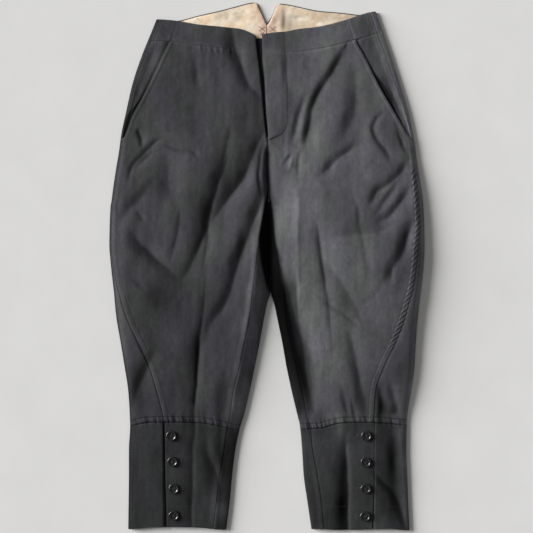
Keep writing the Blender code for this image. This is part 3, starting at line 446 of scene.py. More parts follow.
# Gathers: their place and width by the seam, their slant, then their waves across and along, and
# the seed.
WAIST_GATHERS = (4, 6, 0.1, 2.8, 24, 9)
CUFF_GATHERS = (4, 7, 0.25, 2.7, 24, 8)
GATHERED_MIDDLE, GATHERED_REACH = -84.0, 34.0
WAIST_GATHER_HEIGHT, CUFF_GATHER_HEIGHT = 0.55, 1.1
CUFF_GATHER_SHADE = 0.75
LEAST_CHANCE = 0.6
ROPE_START, ROPE_GROWS, ROPE_END, ROPE_FADES, ROPE_LEAST = 164.0, -12, -150.0, 40, 0.12
ROPE_BAND = (-0.6, 9.2, 2.2)
ROPE_PITCH, ROPE_SLANT = 9.5, 1.2
ROPE_RAILS, ROPE_RAIL_HIGHLIGHT = (0.2, 8.4), 0.6
ROPE_TROUGH, ROPE_SHADE = 0.4, 1.05


def bend(s, length, start, end, start_slope, end_slope):
    """Smooth curve between two values, s from 0 to 1 along a span of the given length."""
    return ((1 + 2 * s) * (1 - s) ** 2 * start + s * (1 - s) ** 2 * length * start_slope
            + s * s * (3 - 2 * s) * end + s * s * (s - 1) * length * end_slope)


def flow(at, knots, values):
    """Smooth curve through the knots that never swings past them, level beyond both ends."""
    order = np.argsort(knots)
    knots, values = np.asarray(knots, float)[order], np.asarray(values, float)[order]
    rises = np.diff(values) / np.diff(knots)
    before, after = rises[:-1], rises[1:]
    level = before * after <= 0
    mean = 2 * before * after / np.where(level, 1.0, before + after)
    slopes = np.concatenate((rises[:1], np.where(level, 0.0, mean), rises[-1:]))
    at = np.clip(at, knots[0], knots[-1])
    span = np.clip(np.searchsorted(knots, at) - 1, 0, len(knots) - 2)
    step = knots[span + 1] - knots[span]
    return bend((at - knots[span]) / step, step, values[span], values[span + 1], slopes[span],
                slopes[span + 1])


class Table:
    """Rows of named columns, read as smooth curves over the first column."""

    def __init__(self, columns, rows):
        self.columns = {name: [row[i] for row in rows] for i, name in enumerate(columns)}
        self.first = columns[0]

    def at(self, name, where):
        return flow(where, self.columns[self.first], self.columns[name])


def smoothed(route, step=7.0):
    """A route's points joined by a smooth curve, about a step apart."""
    route = np.asarray(route, float)
    reach = np.concatenate(([0.0], np.cumsum(np.hypot(*np.diff(route[:, :2], axis=0).T))))
    places = np.linspace(0, reach[-1], max(int(reach[-1] / step), 2) + 1)
    tangent = np.gradient(route, reach, axis=0)
    span = np.clip(np.searchsorted(reach, places) - 1, 0, len(reach) - 2)
    length = (reach[span + 1] - reach[span])[:, None]
    return bend((places - reach[span])[:, None] / length, length, route[span], route[span + 1],
                tangent[span], tangent[span + 1])


def eased(s):
    return s * s * (3 - 2 * s)


def ramp(measure, start, length):
    """From 0 at the start to 1 a length further on, or backwards where the length is under 0."""
    return np.clip((measure - start) / length, 0, 1)


def dip(distance, width):
    return np.exp(-(distance / width) ** 2)


def ledge(distance, start, end, soft):
    """1 between two distances from a seam, easing to 0 outside them."""
    return (eased(ramp(distance, start - soft / 2, soft))
            - eased(ramp(distance, end - soft / 2, soft)))


def between(corners, s, t):
    """A value inside a cell, from those at its four corners."""
    a, b, c, d = corners
    return (a * (1 - s) + b * s) * (1 - t) + (c * (1 - s) + d * s) * t


def soft_noise(x, y, across, along, seed):
    """Smooth uneven values from -1 to 1, in patches of the given size."""
    cells = 97
    lattice = np.random.default_rng(seed).uniform(-1, 1, (cells, cells))
    u, v = x / across + cells / 2, y / along + cells / 2
    column, row = np.floor(u).astype(int), np.floor(v).astype(int)
    s, t = eased(u - column), eased(v - row)
    column, row = column % cells, row % cells
    right, above = (column + 1) % cells, (row + 1) % cells
    return between((lattice[row, column], lattice[row, right], lattice[above, column],
                    lattice[above, right]), s, t)


def layers(x, y, rows):
    """Adds up layers of unevenness."""
    return sum(size * soft_noise(x, y, *row) for size, *row in rows)


def patches(x, y, rows):
    """Adds up soft patches, each with its middle, its reach across and along, and its strength."""
    return sum(strength * dip(x - middle, across) * dip(y - level, along)
               for middle, level, across, along, strength in rows)


def sunk(x, y, depth, west, east, keen, route):
    """The height of one fold at each point, and its painted shade: how far its hollow is painted
    dark, or a standing fold painted pale as a highlight.
    """
    route = smoothed(route)
    reach = FOLD_REACH * max(west, east)
    low, high = route[:, :2].min(axis=0) - reach, route[:, :2].max(axis=0) + reach
    near = (x > low[0]) & (x < high[0]) & (y > low[1]) & (y < high[1])
    px, py = x[near], y[near]
    nearest = np.full(px.shape, 1e9)
    offset, share = np.zeros(px.shape), np.zeros(px.shape)
    for (x0, y0, from_share), (x1, y1, to_share) in zip(route[:-1], route[1:]):
        length = math.hypot(x1 - x0, y1 - y0)
        way = ((x1 - x0) / length, (y1 - y0) / length)
        along = np.clip((px - x0) * way[0] + (py - y0) * way[1], 0, length)
        dx, dy = px - x0 - along * way[0], py - y0 - along * way[1]
        distance = np.hypot(dx, dy)
        closer = distance < nearest
        nearest = np.where(closer, distance, nearest)
        offset = np.where(closer, way[0] * dy - way[1] * dx, offset)
        share = np.where(closer, from_share + (to_share - from_share) * along / length, share)
    share = np.clip(share, 0, 1)
    flank = np.where(offset > 0, east, west) * (FOLD_END_WIDTH + (1 - FOLD_END_WIDTH) * share)
    flank = nearest / flank
    profile = keen * np.exp(-flank) + (1 - keen) * np.exp(-flank ** 2)
    profile *= share * np.clip(1 - (nearest / reach) ** 2, 0, 1) ** 2
    lit, dark = LIT_SIDE * (LIT_SIDE_SOFT - LIT_SIDE_KEEN * keen), LIT_SIDE + west * SHADED_SIDE
    shelter = dip(nearest, np.where(offset > 0, lit, dark))
    laid = np.zeros((2,) + x.shape)
    laid[0][near] = -depth * profile
    laid[1][near] = share * shelter * np.clip(depth / FULL_SHADE_DEPTH, -MOST_CREST_HIGHLIGHT, 1)
    return laid


class Relief:
    """Layers of values over a rectangle, worked out once on a lattice and read between."""

    STEP = 1.0

    def __init__(self, low, high, height):
        self.low = low
        self.columns, self.rows = (int((b - a) / self.STEP) + 1 for a, b in zip(low, high))
        x, y = np.meshgrid(low[0] + self.STEP * np.arange(self.columns),
                           low[1] + self.STEP * np.arange(self.rows))
        self.values = height(x, y)

    def at(self, x, y):
        u = np.clip((x - self.low[0]) / self.STEP, 0, self.columns - 1.001)
        v = np.clip((y - self.low[1]) / self.STEP, 0, self.rows - 1.001)
        column, row = u.astype(int), v.astype(int)
        a = self.values
        return between((a[:, row, column], a[:, row, column + 1], a[:, row + 1, column],
                        a[:, row + 1, column + 1]), u - column, v - row)


class Leg:
    """One half of the garment: side is -1 for the wearer's right, +1 for the left."""

    REACH = 264
    MARGIN = 40
    HALF_LENGTH = 440

    def __init__(self, side, rows, mouth, mouth_shade, seams, folds, spots, shades, pucker,
                 placket_dark, rim_light_and_shade):
        self.side = side
        self.rows = Table(LEG_COLUMNS, rows)
        self.mouth = Table(MOUTH_COLUMNS, mouth)
        self.mouth_shade = Table(MOUTH_SHADE_COLUMNS, mouth_shade)
        self.seams = Table(SEAM_COLUMNS, seams)
        self.folds = [dict(zip(FOLD_COLUMNS, row)) for row in folds]
        self.spots = spots
        self.shades = [Table(SHADE_COLUMNS, rows) for rows in shades]
        self.pucker, self.placket_dark, self.rim_light_and_shade = pucker, placket_dark, rim_light_and_shade
        self.lie = Relief((min(side * self.REACH, 0) - self.MARGIN, -self.HALF_LENGTH),
                          (max(side * self.REACH, 0) + self.MARGIN, self.HALF_LENGTH), self.rest)

    def across(self, name, level):
        return self.rows.at(name, level)

    def level(self, x, t, upper, lower):
        """Height up the garment of a point between two seams, t from 0 at the upper one to 1."""
        return self.seams.at(upper, x) * (1 - t) + self.seams.at(lower, x) * t

    def find(self, curve, t, upper, lower):
        """Where a curve given by level crosses the rows t between two seams."""
        y = np.zeros(np.shape(t))
        for _ in range(8):
            x = curve(y)
            y = self.level(x, t, upper, lower)
        return x

    def mouth_side(self, y):
        """The front's outer boundary: the pocket mouth, then the side seam."""
        return np.where(y > POCKET_END_LEVEL, self.mouth.at("mouth", y) - self.side * SEAM / 2,
                        self.seam_side(y))

    def seam_side(self, y):
        """The outer boundary of a front piece that meets the back at the side seam."""
        return self.across("side_seam", y) - self.side * SEAM / 2

    def inner_side(self, y):
        """The boundary of a front piece that faces the other leg."""
        return self.across("front_edge", y) + self.side * SEAM / 2

    def from_curve(self, x, y, table, name, towards):
        """Distance from an upright seam curve, more than 0 on the side that towards points to."""
        step = 2.0
        lean = (table.at(name, y + step) - table.at(name, y - step)) / (2 * step)
        return towards * (x - table.at(name, y)) / np.sqrt(1 + lean ** 2)

    def distances(self, x, y):
        """Distances from the seams, each more than 0 on the front's side of it."""
        inseam = self.from_curve(x, y, self.rows, "front_edge", self.side)
        return {
            "outseam": self.from_curve(x, y, self.rows, "side_seam", -self.side),
            "inseam": inseam,
            "inseam_west": -self.side * inseam,
            "mouth": self.from_curve(x, y, self.mouth, "mouth", -self.side),
            "waist": self.seams.at("waist_seam", x) - y,
            "cuff": y - self.seams.at("cuff_seam", x),
        }

    def zones(self, x, y, far):
        """How fully each zone of the leg holds a point, from 0 to 1."""
        measures = dict(far, level=y)
        zones = {name: math.prod(ramp(measures[measure], start, length)
                                 for measure, start, length in ends)
                 for name, ends in ZONES.items()}
        return dict(zones, leg=far["cuff"] > 0, cuff=far["cuff"] <= 0,
                    off_fly=np.maximum(ramp(np.abs(x), *OFF_FLY), LEAST_BY_FLY))

    def along_seams(self, marks, far, zones):
        """Adds up marks that follow the seams."""
        total = 0.0
        for seam, zone, right, left, *place in marks:
            strength = left if self.side > 0 else right
            if strength and len(place) == 2:
                total = total + strength * zones[zone] * dip(far[seam] - place[0], place[1])
            elif strength:
                total = total + strength * zones[zone] * ledge(far[seam], *place)
        return total

    def sewing(self, x, y):
        """Low relief of the seams: grooves, pressed seam allowances, gathers and puckers."""
        far = self.distances(x, y)
        relief = self.along_seams(SEAM_RELIEF, far, self.zones(x, y, far))
        gathered, tucks = self.gathers(x, y, far["waist"], *WAIST_GATHERS)
        gathered *= dip(x - GATHERED_MIDDLE, GATHERED_REACH)
        relief += WAIST_GATHER_HEIGHT * gathered * tucks
        band, wave = self.rope(y, far)
        relief += self.pucker * (LEAST_CHANCE + layers(x, y, SEAM_CHANCE)) * band * wave
        gathered, tucks = self.gathers(x, y, far["cuff"], *CUFF_GATHERS)
        gathered *= LEAST_CHANCE + layers(x, y, GATHER_CHANCE)
        return relief + CUFF_GATHER_HEIGHT * gathered * tucks

    def gathers(self, x, y, distance, place, width, slant, *wave):
        """How far the cloth is gathered along a seam, and the waves of the gathers."""
        return dip(distance - place, width), soft_noise(x + slant * y, y, *wave)

    def rope(self, y, far):
        """Where the side seam has drawn up into slanting puckers, and their wave."""
        roped = (ramp(y, ROPE_START, ROPE_GROWS)
                 * np.clip((y - ROPE_END) / ROPE_FADES, ROPE_LEAST, 1))
        band = ledge(far["outseam"], *ROPE_BAND) * roped * ramp(far["cuff"], 0, 3)
        return band, np.sin((y + ROPE_SLANT * far["outseam"]) * 2 * math.pi / ROPE_PITCH)

    def rest(self, x, y):
        """Height of the folds and the unevenness of cloth laid by hand, and the folds' painted
        shade and highlights.
        """
        bent_x = x + layers(x, y, FOLD_WANDER_ACROSS)
        bent_y = y + layers(x, y, FOLD_WANDER_ALONG)
        laid = sum(sunk(bent_x, bent_y, **fold) for fold in self.folds)
        laid *= 1 + layers(x, y, FOLD_CHANCE)
        laid[0] += layers(x, y, CLOTH_UNEVENNESS)
        return laid

    def tone(self, x, y):
        """How pale the cloth is painted, 1 in the middle of its range: its fading, and painted
        light and shade that stay under any light."""
        far = self.distances(x, y)
        zones = self.zones(x, y, far)
        tone = 1 + patches(x, y, self.spots)
        # Painted shade in the hollows of the folds and painted highlights on the standing folds.
        tone *= 1 - HOLLOW_SHADE * np.clip(self.lie.at(x, y)[1], -MOST_CREST_HIGHLIGHT, 1)
        # Painted shade on the facing just behind the pocket mouth.
        behind = -far["mouth"]
        deep = (ramp(behind, *PAINTED_MOUTH_SHADE_FROM)
                * ramp(self.mouth_shade.at("width", y) - behind, *PAINTED_MOUTH_SHADE_TO))
        tone *= 1 - PAINTED_MOUTH_SHADE * deep * ramp(y, POCKET_END_LEVEL, PAINTED_MOUTH_SHADE_GROWS)
        # Painted shadow on the cuff beside the edge of its flap.
        beside = -far["outseam"]
        placket = ramp(beside, *PLACKET_FROM) * ramp(beside, *PLACKET_TO)
        tone *= 1 - self.placket_dark * placket * zones["cuff"]
        # Painted shade in the folds of the sewing and in the troughs of the cuff's gathers.
        gathered, tucks = self.gathers(x, y, far["cuff"], *CUFF_GATHERS)
        gathered *= LEAST_CHANCE + layers(x, y, GATHER_CHANCE)
        sewn = self.along_seams(SEAM_SHADE, far, zones)
        sewn += CUFF_GATHER_SHADE * gathered * np.clip(-tucks, 0, 1) * zones["leg"]
        tone *= 1 - np.minimum(sewn, MOST_SEAM_SHADE)
        # Painted highlights along the rails of the side seam's puckers and painted shade in their
        # troughs.
        band, wave = self.rope(y, far)
        rails = sum(dip(far["outseam"] - rail, 1.0) for rail in ROPE_RAILS)
        tone *= 1 + self.pucker * band * (ROPE_RAIL_HIGHLIGHT * rails
                                          - ROPE_SHADE * np.clip(ROPE_TROUGH - wave, 0, 1))
        # Painted light along the left leg's outer edge and painted shade along the right leg's.
        for change, width in self.rim_light_and_shade:
            tone *= 1 + change * dip(self.across("outer", y) - x, width)
        tone *= 1 + self.along_seams(POCKET_EDGE_LINES, far, zones)
        tone *= 1 - self.along_seams(INSEAM_SHADE, far, zones)
        # Painted shadow where the legs lie against each other.
        for shade in self.shades:
            dark = shade.at("dark", y)
            lit = np.clip(self.side * (x - shade.at("edge", y)) / shade.at("soft", y), 0, 1)
            tone *= dark + (1 - dark) * eased(lit)
        return tone

    def top(self, x, y):
        """Height of the upper surface of the laid-out cloth."""
        x, y = np.asarray(x, float), np.asarray(y, float)
        half = FOLDED_EDGE / 2
        from_outer = np.maximum(self.side * (self.across("outer", y) - x) - half, 0)
        from_inner = np.maximum(self.side * (x - self.across("inner", y)) - half, 0)
        rise_out = 1 - np.exp(-from_outer / OUTER_ROLL)
        rise_in = 1 - np.exp(-from_inner / self.across("roll", y))
        drop = np.clip(self.across("drop", y), 0, 1)
        share = rise_out * (1 - drop * (1 - rise_in))
        body = FOLDED_EDGE + (self.across("crown", y) - FOLDED_EDGE) * share
        body = body + share * self.lie.at(x, y)[0]
        above = body - LOWEST_TOP
        lifted = LOWEST_TOP + (above + np.sqrt(above ** 2 + LOWEST_TOP_EASE)) / 2
        return lifted + self.sewing(x, y) * np.clip(share, 0, 1)

    def thickness(self, x, y):
        """Upright thickness that keeps the wall's own thickness on a slope."""
        step = 0.5
        along_x = (self.top(x + step, y) - self.top(x - step, y)) / (2 * step)
        along_y = (self.top(x, y + step) - self.top(x, y - step)) / (2 * step)
        return np.minimum(np.sqrt(1 + along_x ** 2 + along_y ** 2), STEEPEST)


RIGHT = Leg(-1, RIGHT_LEG, RIGHT_MOUTH, RIGHT_MOUTH_SHADE, RIGHT_SEAMS, RIGHT_FOLDS,
            RIGHT_SPOTS, (RIGHT_SHADE,), pucker=0.10, placket_dark=0.84,
            rim_light_and_shade=((-0.46, 13.5), (-0.48, 2.6)))
LEFT = Leg(1, LEFT_LEG, LEFT_MOUTH, LEFT_MOUTH_SHADE, LEFT_SEAMS, LEFT_FOLDS, LEFT_SPOTS,
           (LEFT_SHADE, LEFT_DUSK), pucker=0.62, placket_dark=0.04, rim_light_and_shade=((1.42, 8.5),))
LEGS = {"right": RIGHT, "left": LEFT}


def crowded(count, crowding=0.5):
    """Places from 0 to 1, closer together towards both ends."""
    even = np.linspace(0, 1, count)
    return even * (1 - crowding) + crowding * (1 - np.cos(math.pi * even)) / 2


def grid(x, y, z):
    return np.stack(np.broadcast_arrays(x, y, z), axis=-1).astype(float)


def put(name, data):
    """A new object in the scene, at the origin and unturned."""
    item = bpy.data.objects.new(name, data)
    bpy.context.scene.collection.objects.link(item)
    return item


RUB_REACH = 5
SEAM_RUB, CREST_RUB = 0.55, 0.05
CREST = FOLDED_EDGE + 6


def marks_of(leg, points):
    """How much the cloth is rubbed along its seams, pocket mouths and crests, and its tone."""
    x, y = points[..., 0], points[..., 1]
    far = leg.distances(x, y)
    seams = np.maximum.reduce([dip(far[name], RUB_REACH) for name in far])
    wear = np.clip(SEAM_RUB * seams + CREST_RUB * (points[..., 2] - CREST), 0, 1)
    return {"wear": wear, "tone": leg.tone(x, y)}


def cloth(name, node, material, outer, inner, marks, kept=None):
    """One piece of cloth: a shell closed between two grids of points over the kept cells, its
    marks, its place under the root, and the CAD part it stands for hidden."""
    rows, columns = outer.shape[:2]
    size = rows * columns
    kept = np.ones((rows - 1, columns - 1), bool) if kept is None else kept
    number = np.arange(size).reshape(rows, columns)
    a, b, c, d = number[:-1, :-1], number[:-1, 1:], number[1:, 1:], number[1:, :-1]
    quads = np.stack((a, b, c, d), axis=-1)[kept]
    padded = np.pad(kept, 1)
    sides = ((a, b, padded[:-2, 1:-1]), (b, c, padded[1:-1, 2:]),
             (c, d, padded[2:, 1:-1]), (d, a, padded[1:-1, :-2]))
    rims = [np.stack((second, first, first + size, second + size), axis=-1)[kept & ~beyond]
            for first, second, beyond in sides]
    faces = np.concatenate([quads, quads[:, ::-1] + size] + rims)
    points = np.concatenate((outer.reshape(-1, 3), inner.reshape(-1, 3))) * MM
    corners = points[faces]
    volume = sum(np.einsum("ij,ij->", corners[:, 0], np.cross(corners[:, i], corners[:, i + 1]))
                 for i in (1, 2))
    if volume < 0:
        faces = faces[:, ::-1]
    used, faces = np.unique(faces, return_inverse=True)
    mesh = bpy.data.meshes.new(name)
    mesh.from_pydata(points[used].tolist(), [], faces.reshape(-1, 4).tolist())
    for mark, values in marks.items():
        attribute = mesh.attributes.new(mark, "FLOAT", "POINT")
        attribute.data.foreach_set("value", np.tile(values.reshape(-1), 2)[used].astype(np.float32))
    mesh.materials.append(material)
    mesh.shade_smooth()
    mesh.set_sharp_from_angle(angle=math.radians(50))
    piece = put(name, mesh)
    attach(piece, "root")
    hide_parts(node)


def walled(leg, x, y, drop=0.0):
    """Outer and inner points of cloth on the top layer, or a drop under it."""
    top = leg.top(x, y) - drop
    return grid(x, y, top), grid(x, y, top - WALL * leg.thickness(x, y))


def laid_shell(leg, first, last, upper, lower, rows, columns, trim_top=SEAM / 2,
               trim_bottom=SEAM / 2):
    """A panel of the top layer, between two side curves and two seams: its outer and inner
    points."""
    ends = [leg.find(curve, rows, upper, lower)[:, None] for curve in (first, last)]
    x = ends[0] + (ends[1] - ends[0]) * columns
    y = leg.level(x, rows[:, None], upper, lower)
    y[0] -= trim_top
    y[-1] += trim_bottom
    return walled(leg, x, y)


def give(tree, node, links):
    """Gives a node's inputs a value each, or another node's output."""
    for socket, source in links.items():
        if isinstance(source, bpy.types.NodeSocket):
            tree.links.new(source, node.inputs[socket])
        else:
            node.inputs[socket].default_value = source


def add_node(tree, kind, links=None, **settings):
    node = tree.nodes.new(kind)
    for key, value in settings.items():
        setattr(node, key, value)
    give(tree, node, links or {})
    return node


class Shader:
    """A small hand for building a material's nodes."""

    def __init__(self, name):
        self.material = bpy.data.materials.new(name)
        self.material.use_nodes = True
        self.tree = self.material.node_tree
        self.place = self.add("ShaderNodeTexCoord").outputs["Object"]

    def add(self, kind, links=None, **settings):
        return add_node(self.tree, kind, links, **settings)

    def mark(self, name):
        return self.add("ShaderNodeAttribute", attribute_name=name).outputs["Fac"]

    def across(self):
        return self.add("ShaderNodeSeparateXYZ", {0: self.place}).outputs["X"]

    def scaled(self, scale, turn=0.0):
        """Object coordinates in millimetres, times scale, turned about Z."""
        return self.add("ShaderNodeMapping", {
            "Vector": self.place, "Rotation": (0.0, 0.0, turn),
            "Scale": tuple(part / MM for part in scale)}).outputs["Vector"]

    def noise(self, scale, detail=2.0, roughness=0.5):
        return self.add("ShaderNodeTexNoise", {
            "Vector": self.scaled(scale), "Scale": 1.0, "Detail": detail,
            "Roughness": roughness}).outputs["Fac"]

    def math(self, operation, a, b, clamp=False):
        node = self.add("ShaderNodeMath", {0: a, 1: b}, operation=operation, use_clamp=clamp)
        return node.outputs[0]

    def stretch(self, value, low, high, to_low=0.0, to_high=1.0):
        return self.add("ShaderNodeMapRange", {
            "Value": value, "From Min": low, "From Max": high, "To Min": to_low,
            "To Max": to_high}).outputs["Result"]

    def mix(self, share, first, second, blend="MIX"):
        node = self.add("ShaderNodeMix", {0: share, 6: first, 7: second}, data_type="RGBA",
                        blend_type=blend)
        return node.outputs[2]

    def shaded(self, colour, tone):
        """A colour made darker or paler by a tone."""
        grey = self.add("ShaderNodeCombineColor", {0: tone, 1: tone, 2: tone}).outputs[0]
        return self.mix(1.0, colour, grey, "MULTIPLY")

    def finish(self, colour, roughness, fixed, relief=None):
        """Joins the surface up: fixed values stay on its sockets, and relief is a bump's height,
        strength and distance."""
        surface = self.tree.nodes["Principled BSDF"]
        give(self.tree, surface, {"Base Color": colour, "Roughness": roughness} | fixed)
        if relief is not None:
            bump = self.add("ShaderNodeBump", dict(zip(("Height", "Strength", "Distance"), relief)))
            give(self.tree, surface, {"Normal": bump.outputs["Normal"]})
        return self.material


def twill(name, dark, faded, cool, warm, painted_side_light=None):
    """Worn cotton twill: fine diagonal ribs, cloudy fading, paler where it is rubbed. The last
    argument, if given, is painted light across the garment: its reach and the tones at its ends."""
    shade = Shader(name)
    clouds = shade.noise((0.014, 0.009, 0.014), 3.0)
    streaks = shade.noise((0.11, 0.006, 0.05))
    hue = shade.noise((0.021, 0.015, 0.021))
    fibres = shade.noise((1.3, 0.9, 1.3), 3.0, 0.7)
    ribs = shade.add("ShaderNodeTexWave", {
        "Vector": shade.scaled((1.0, 1.0, 1.0), math.radians(36)), "Scale": 0.28,
        "Distortion": 0.6, "Detail": 1.0, "Detail Scale": 1.0}).outputs["Fac"]
    fade = shade.math("ADD", shade.stretch(clouds, 0.34, 0.68, 0.0, 0.60),
                      shade.stretch(streaks, 0.3, 0.7, -0.04, 0.18))
    fade = shade.math("ADD", fade, shade.math("MULTIPLY", shade.mark("wear"), 0.5), clamp=True)
    tint = shade.mix(shade.stretch(hue, 0.40, 0.62), cool, warm)
    colour = shade.mix(1.0, shade.mix(fade, dark, faded), tint, "MULTIPLY")
    grain = shade.stretch(shade.math("ADD", shade.math("MULTIPLY", ribs, 0.5),
                                     shade.math("MULTIPLY", fibres, 0.8)), 0.25, 1.05, 0.74, 1.22)
    mottle = shade.stretch(shade.noise((0.19, 0.15, 0.19), 3.0, 0.65), 0.3, 0.7, 0.88, 1.12)
    warps = shade.stretch(shade.noise((0.42, 0.045, 0.3), 2.0, 0.6), 0.3, 0.7, 0.945, 1.055)
    tones = [mottle, warps, shade.mark("tone")]
    if painted_side_light is not None:
        reach, *ends = painted_side_light
        tones.append(shade.stretch(shade.across(), -reach * MM, reach * MM, *ends))
    for tone in tones:
        grain = shade.math("MULTIPLY", grain, tone)
    height = shade.math("ADD", shade.math("MULTIPLY", ribs, 0.6), fibres)
    return shade.finish(shade.shaded(colour, grain), shade.stretch(clouds, 0.3, 0.7, 0.72, 0.86),
                        {"Specular IOR Level": 0.05, "Sheen Weight": 0.012,
                         "Sheen Roughness": 0.45, "Sheen Tint": (0.86, 0.88, 1.0, 1.0)},
                        (height, 0.35, 0.0004))


# Painted light makes the wearer's left side of the garment up to 1.6 times as pale as the right.
BLACK_TWILL = twill("black_twill", dark=(0.038, 0.038, 0.040, 1), faded=(0.088, 0.088, 0.094, 1),
                    cool=(0.985, 0.98, 1.065, 1), warm=(1.01, 1.025, 0.97, 1),
                    painted_side_light=(110, 0.89, 1.46))

FRONT_ROWS = crowded(280)
FRONT_COLUMNS = crowded(140)
for word, leg in LEGS.items():
    outer, inner = laid_shell(leg, leg.mouth_side, leg.inner_side, "waist_seam", "cuff_seam",
                              FRONT_ROWS, FRONT_COLUMNS)
    cloth(f"leg_front_{word}", f"front_{word}", BLACK_TWILL, outer, inner,
          marks_of(leg, outer))


# The leg backs
# Each back is one wide piece of the same twill that lies on the floor. It comes round the outer
# edge as far as the side seam and, below the crotch, round the inner edge to the inside leg seam.

TURN = np.radians(np.linspace(14, 166, 11))
STRIP = np.linspace(0, 1, 22)
UNDERSIDE = np.linspace(0, 1, 24)
INNER_STRIP = np.linspace(0, 1, 16)


def wrapped_grid(leg, upper, lower, rows, strip=STRIP, drops=0.0, stand=0.0, trim_top=SEAM / 2,
                 trim_bottom=SEAM / 2):
    """Outer and inner points of a back piece: top strip, folded edge, underside, and below the
    crotch the other folded edge and the strip up to the inside leg seam. stand is how far the
    top strip runs on under the front, and drops how far it sinks there."""
    side, half = leg.side, FOLDED_EDGE / 2
    gap = side * SEAM / 2
    shift = np.zeros(len(rows))
    shift[0], shift[-1] = -trim_top, trim_bottom

    def place(name):
        return leg.find(lambda y: leg.across(name, y), rows, upper, lower)[:, None]

    def y_of(x):
        return leg.level(x, rows[:, None], upper, lower) + shift[:, None]

    def around(centre, way, turn):
        points = []
        for radius in (half, half - WALL):
            x = centre + way * radius * np.sin(turn)
            points.append(grid(x, y_of(x), half + radius * np.cos(turn)))
        return points

    outer_x, inner_x = place("outer"), place("inner")
    start = place("side_seam") + gap - side * stand
    outside, inside = outer_x - side * half, inner_x + side * half
    wrapped = y_of(inner_x)[:, 0] < CROTCH_LEVEL
    x = start + (outside - start) * strip
    pieces = [walled(leg, x, y_of(x), drops), around(outside, side, TURN)]
    x = outside + (np.where(wrapped[:, None], inside, inner_x + gap) - outside) * UNDERSIDE
    pieces.append((grid(x, y_of(x), 0.0), grid(x, y_of(x), WALL)))
    kept = None
    if wrapped.any():
        last = pieces[-1]
        x = inside + (place("front_edge") - gap - inside) * INNER_STRIP
        for wrap in around(inside, -side, TURN[::-1]), walled(leg, x, y_of(x)):
            pieces.append([np.where(wrapped[:, None, None], wrap[layer], last[layer][:, -1:])
                           for layer in (0, 1)])
        kept = np.ones((len(rows) - 1, sum(piece[0].shape[1] for piece in pieces) - 1), bool)
        kept[~wrapped[:-1], -(len(TURN) + len(INNER_STRIP)):] = False
    outer, inner = (np.concatenate([piece[layer] for piece in pieces], axis=1)
                    for layer in (0, 1))
    return outer, inner, kept


BACK_ROWS = crowded(270)
for word, leg in LEGS.items():
    outer, inner, kept = wrapped_grid(leg, "waist_seam", "cuff_seam", BACK_ROWS)
    cloth(f"leg_back_{word}", f"back_{word}", BLACK_TWILL, outer, inner,
          marks_of(leg, outer), kept)


# The pocket facings
# A strip of the same twill behind each slanted pocket mouth, sewn into the side seam. The left
# pocket gapes a little, so its facing runs down into the dark behind the mouth.

HIDDEN_DEPTH = 1.8
POCKET_UNDERLAP = 12.0
FACING_GAP = 0.25
FACING_LOWER = 207.0
# How deep the pocket gapes, where along it and how far. It gapes most just past the mouth.
FACING_GAPE = {"right": (0.3, 240.0, 30.0), "left": (1.7, 281.0, 32.0)}
GAPE_PLACE, GAPE_WIDTH = 2.2, 0.9
SEAM_EASE = 0.9
WAIST_EASE, WAIST_EASE_WIDTH = 0.8, 0.07


def facing_grid(leg, depth, middle, reach):
    """Outer and inner points of a facing. Its columns run from the side seam at 0 to the pocket
    mouth at 2, and on to its hidden edge at 4."""
    t, places = np.linspace(0, 1, 60)[:, None], np.linspace(0, 4, 33)

    def y_of(x):
        return leg.seams.at("waist_seam", x) * (1 - t) + FACING_LOWER * t - SEAM / 2

    def meet(table, curve, inward):
        x = np.full(t.shape, float(leg.across("outer", POCKET_END_LEVEL)))
        for _ in range(8):
            x = table.at(curve, y_of(x)) - leg.side * inward
        return x

    seam = meet(leg.rows, "side_seam", SEAM)
    mouth = meet(leg.mouth, "mouth", 0.0)
    hidden = meet(leg.mouth, "mouth", POCKET_UNDERLAP)
    x = np.where(places <= 2, seam + (mouth - seam) * places / 2,
                 mouth + (hidden - mouth) * (places - 2) / 2)
    y = y_of(x)
    opened = depth * dip(places - GAPE_PLACE, GAPE_WIDTH) * dip(y - middle, reach)
    under = WALL * leg.thickness(x, y) + FACING_GAP
    under *= 1 - WAIST_EASE * ramp(places, 2, -0.6) * dip(t, WAIST_EASE_WIDTH)
    top = leg.top(x, y) - under * eased(ramp(places, 0, SEAM_EASE)) - opened
    return grid(x, y, top), grid(x, y, top - WALL)


for word, leg in LEGS.items():
    outer, inner = facing_grid(leg, *FACING_GAPE[word])
    cloth(f"facing_{word}", f"pocket_facing_{word}", BLACK_TWILL, outer, inner,
          marks_of(leg, outer))


# The waistband
# A shaped band of twill, 35 mm deep at the sides, which rises at the back to a fishtail with a
# notch. The back band is lined with cream cotton, stained with age, which shows above the front.

BAND_ROWS = crowded(18)
BAND_EDGE_ROUNDING = (0.45, 0.15)
for word, leg in LEGS.items():
    outer, inner = laid_shell(leg, leg.seam_side, leg.inner_side, "front_top", "waist_seam",
                              BAND_ROWS, FRONT_COLUMNS, trim_top=0.0)
    outer[0, :, 2] -= BAND_EDGE_ROUNDING[0]
    outer[1, :, 2] -= BAND_EDGE_ROUNDING[1]
    cloth(f"waistband_front_of_{word}", f"waistband_front_{word}", BLACK_TWILL,
          outer, inner, marks_of(leg, outer))

    outer, inner, _ = wrapped_grid(leg, "back_top", "waist_seam", BAND_ROWS, trim_top=0.0)
    cloth(f"waistband_back_of_{word}", f"waistband_back_{word}", BLACK_TWILL,
          outer, inner, marks_of(leg, outer))


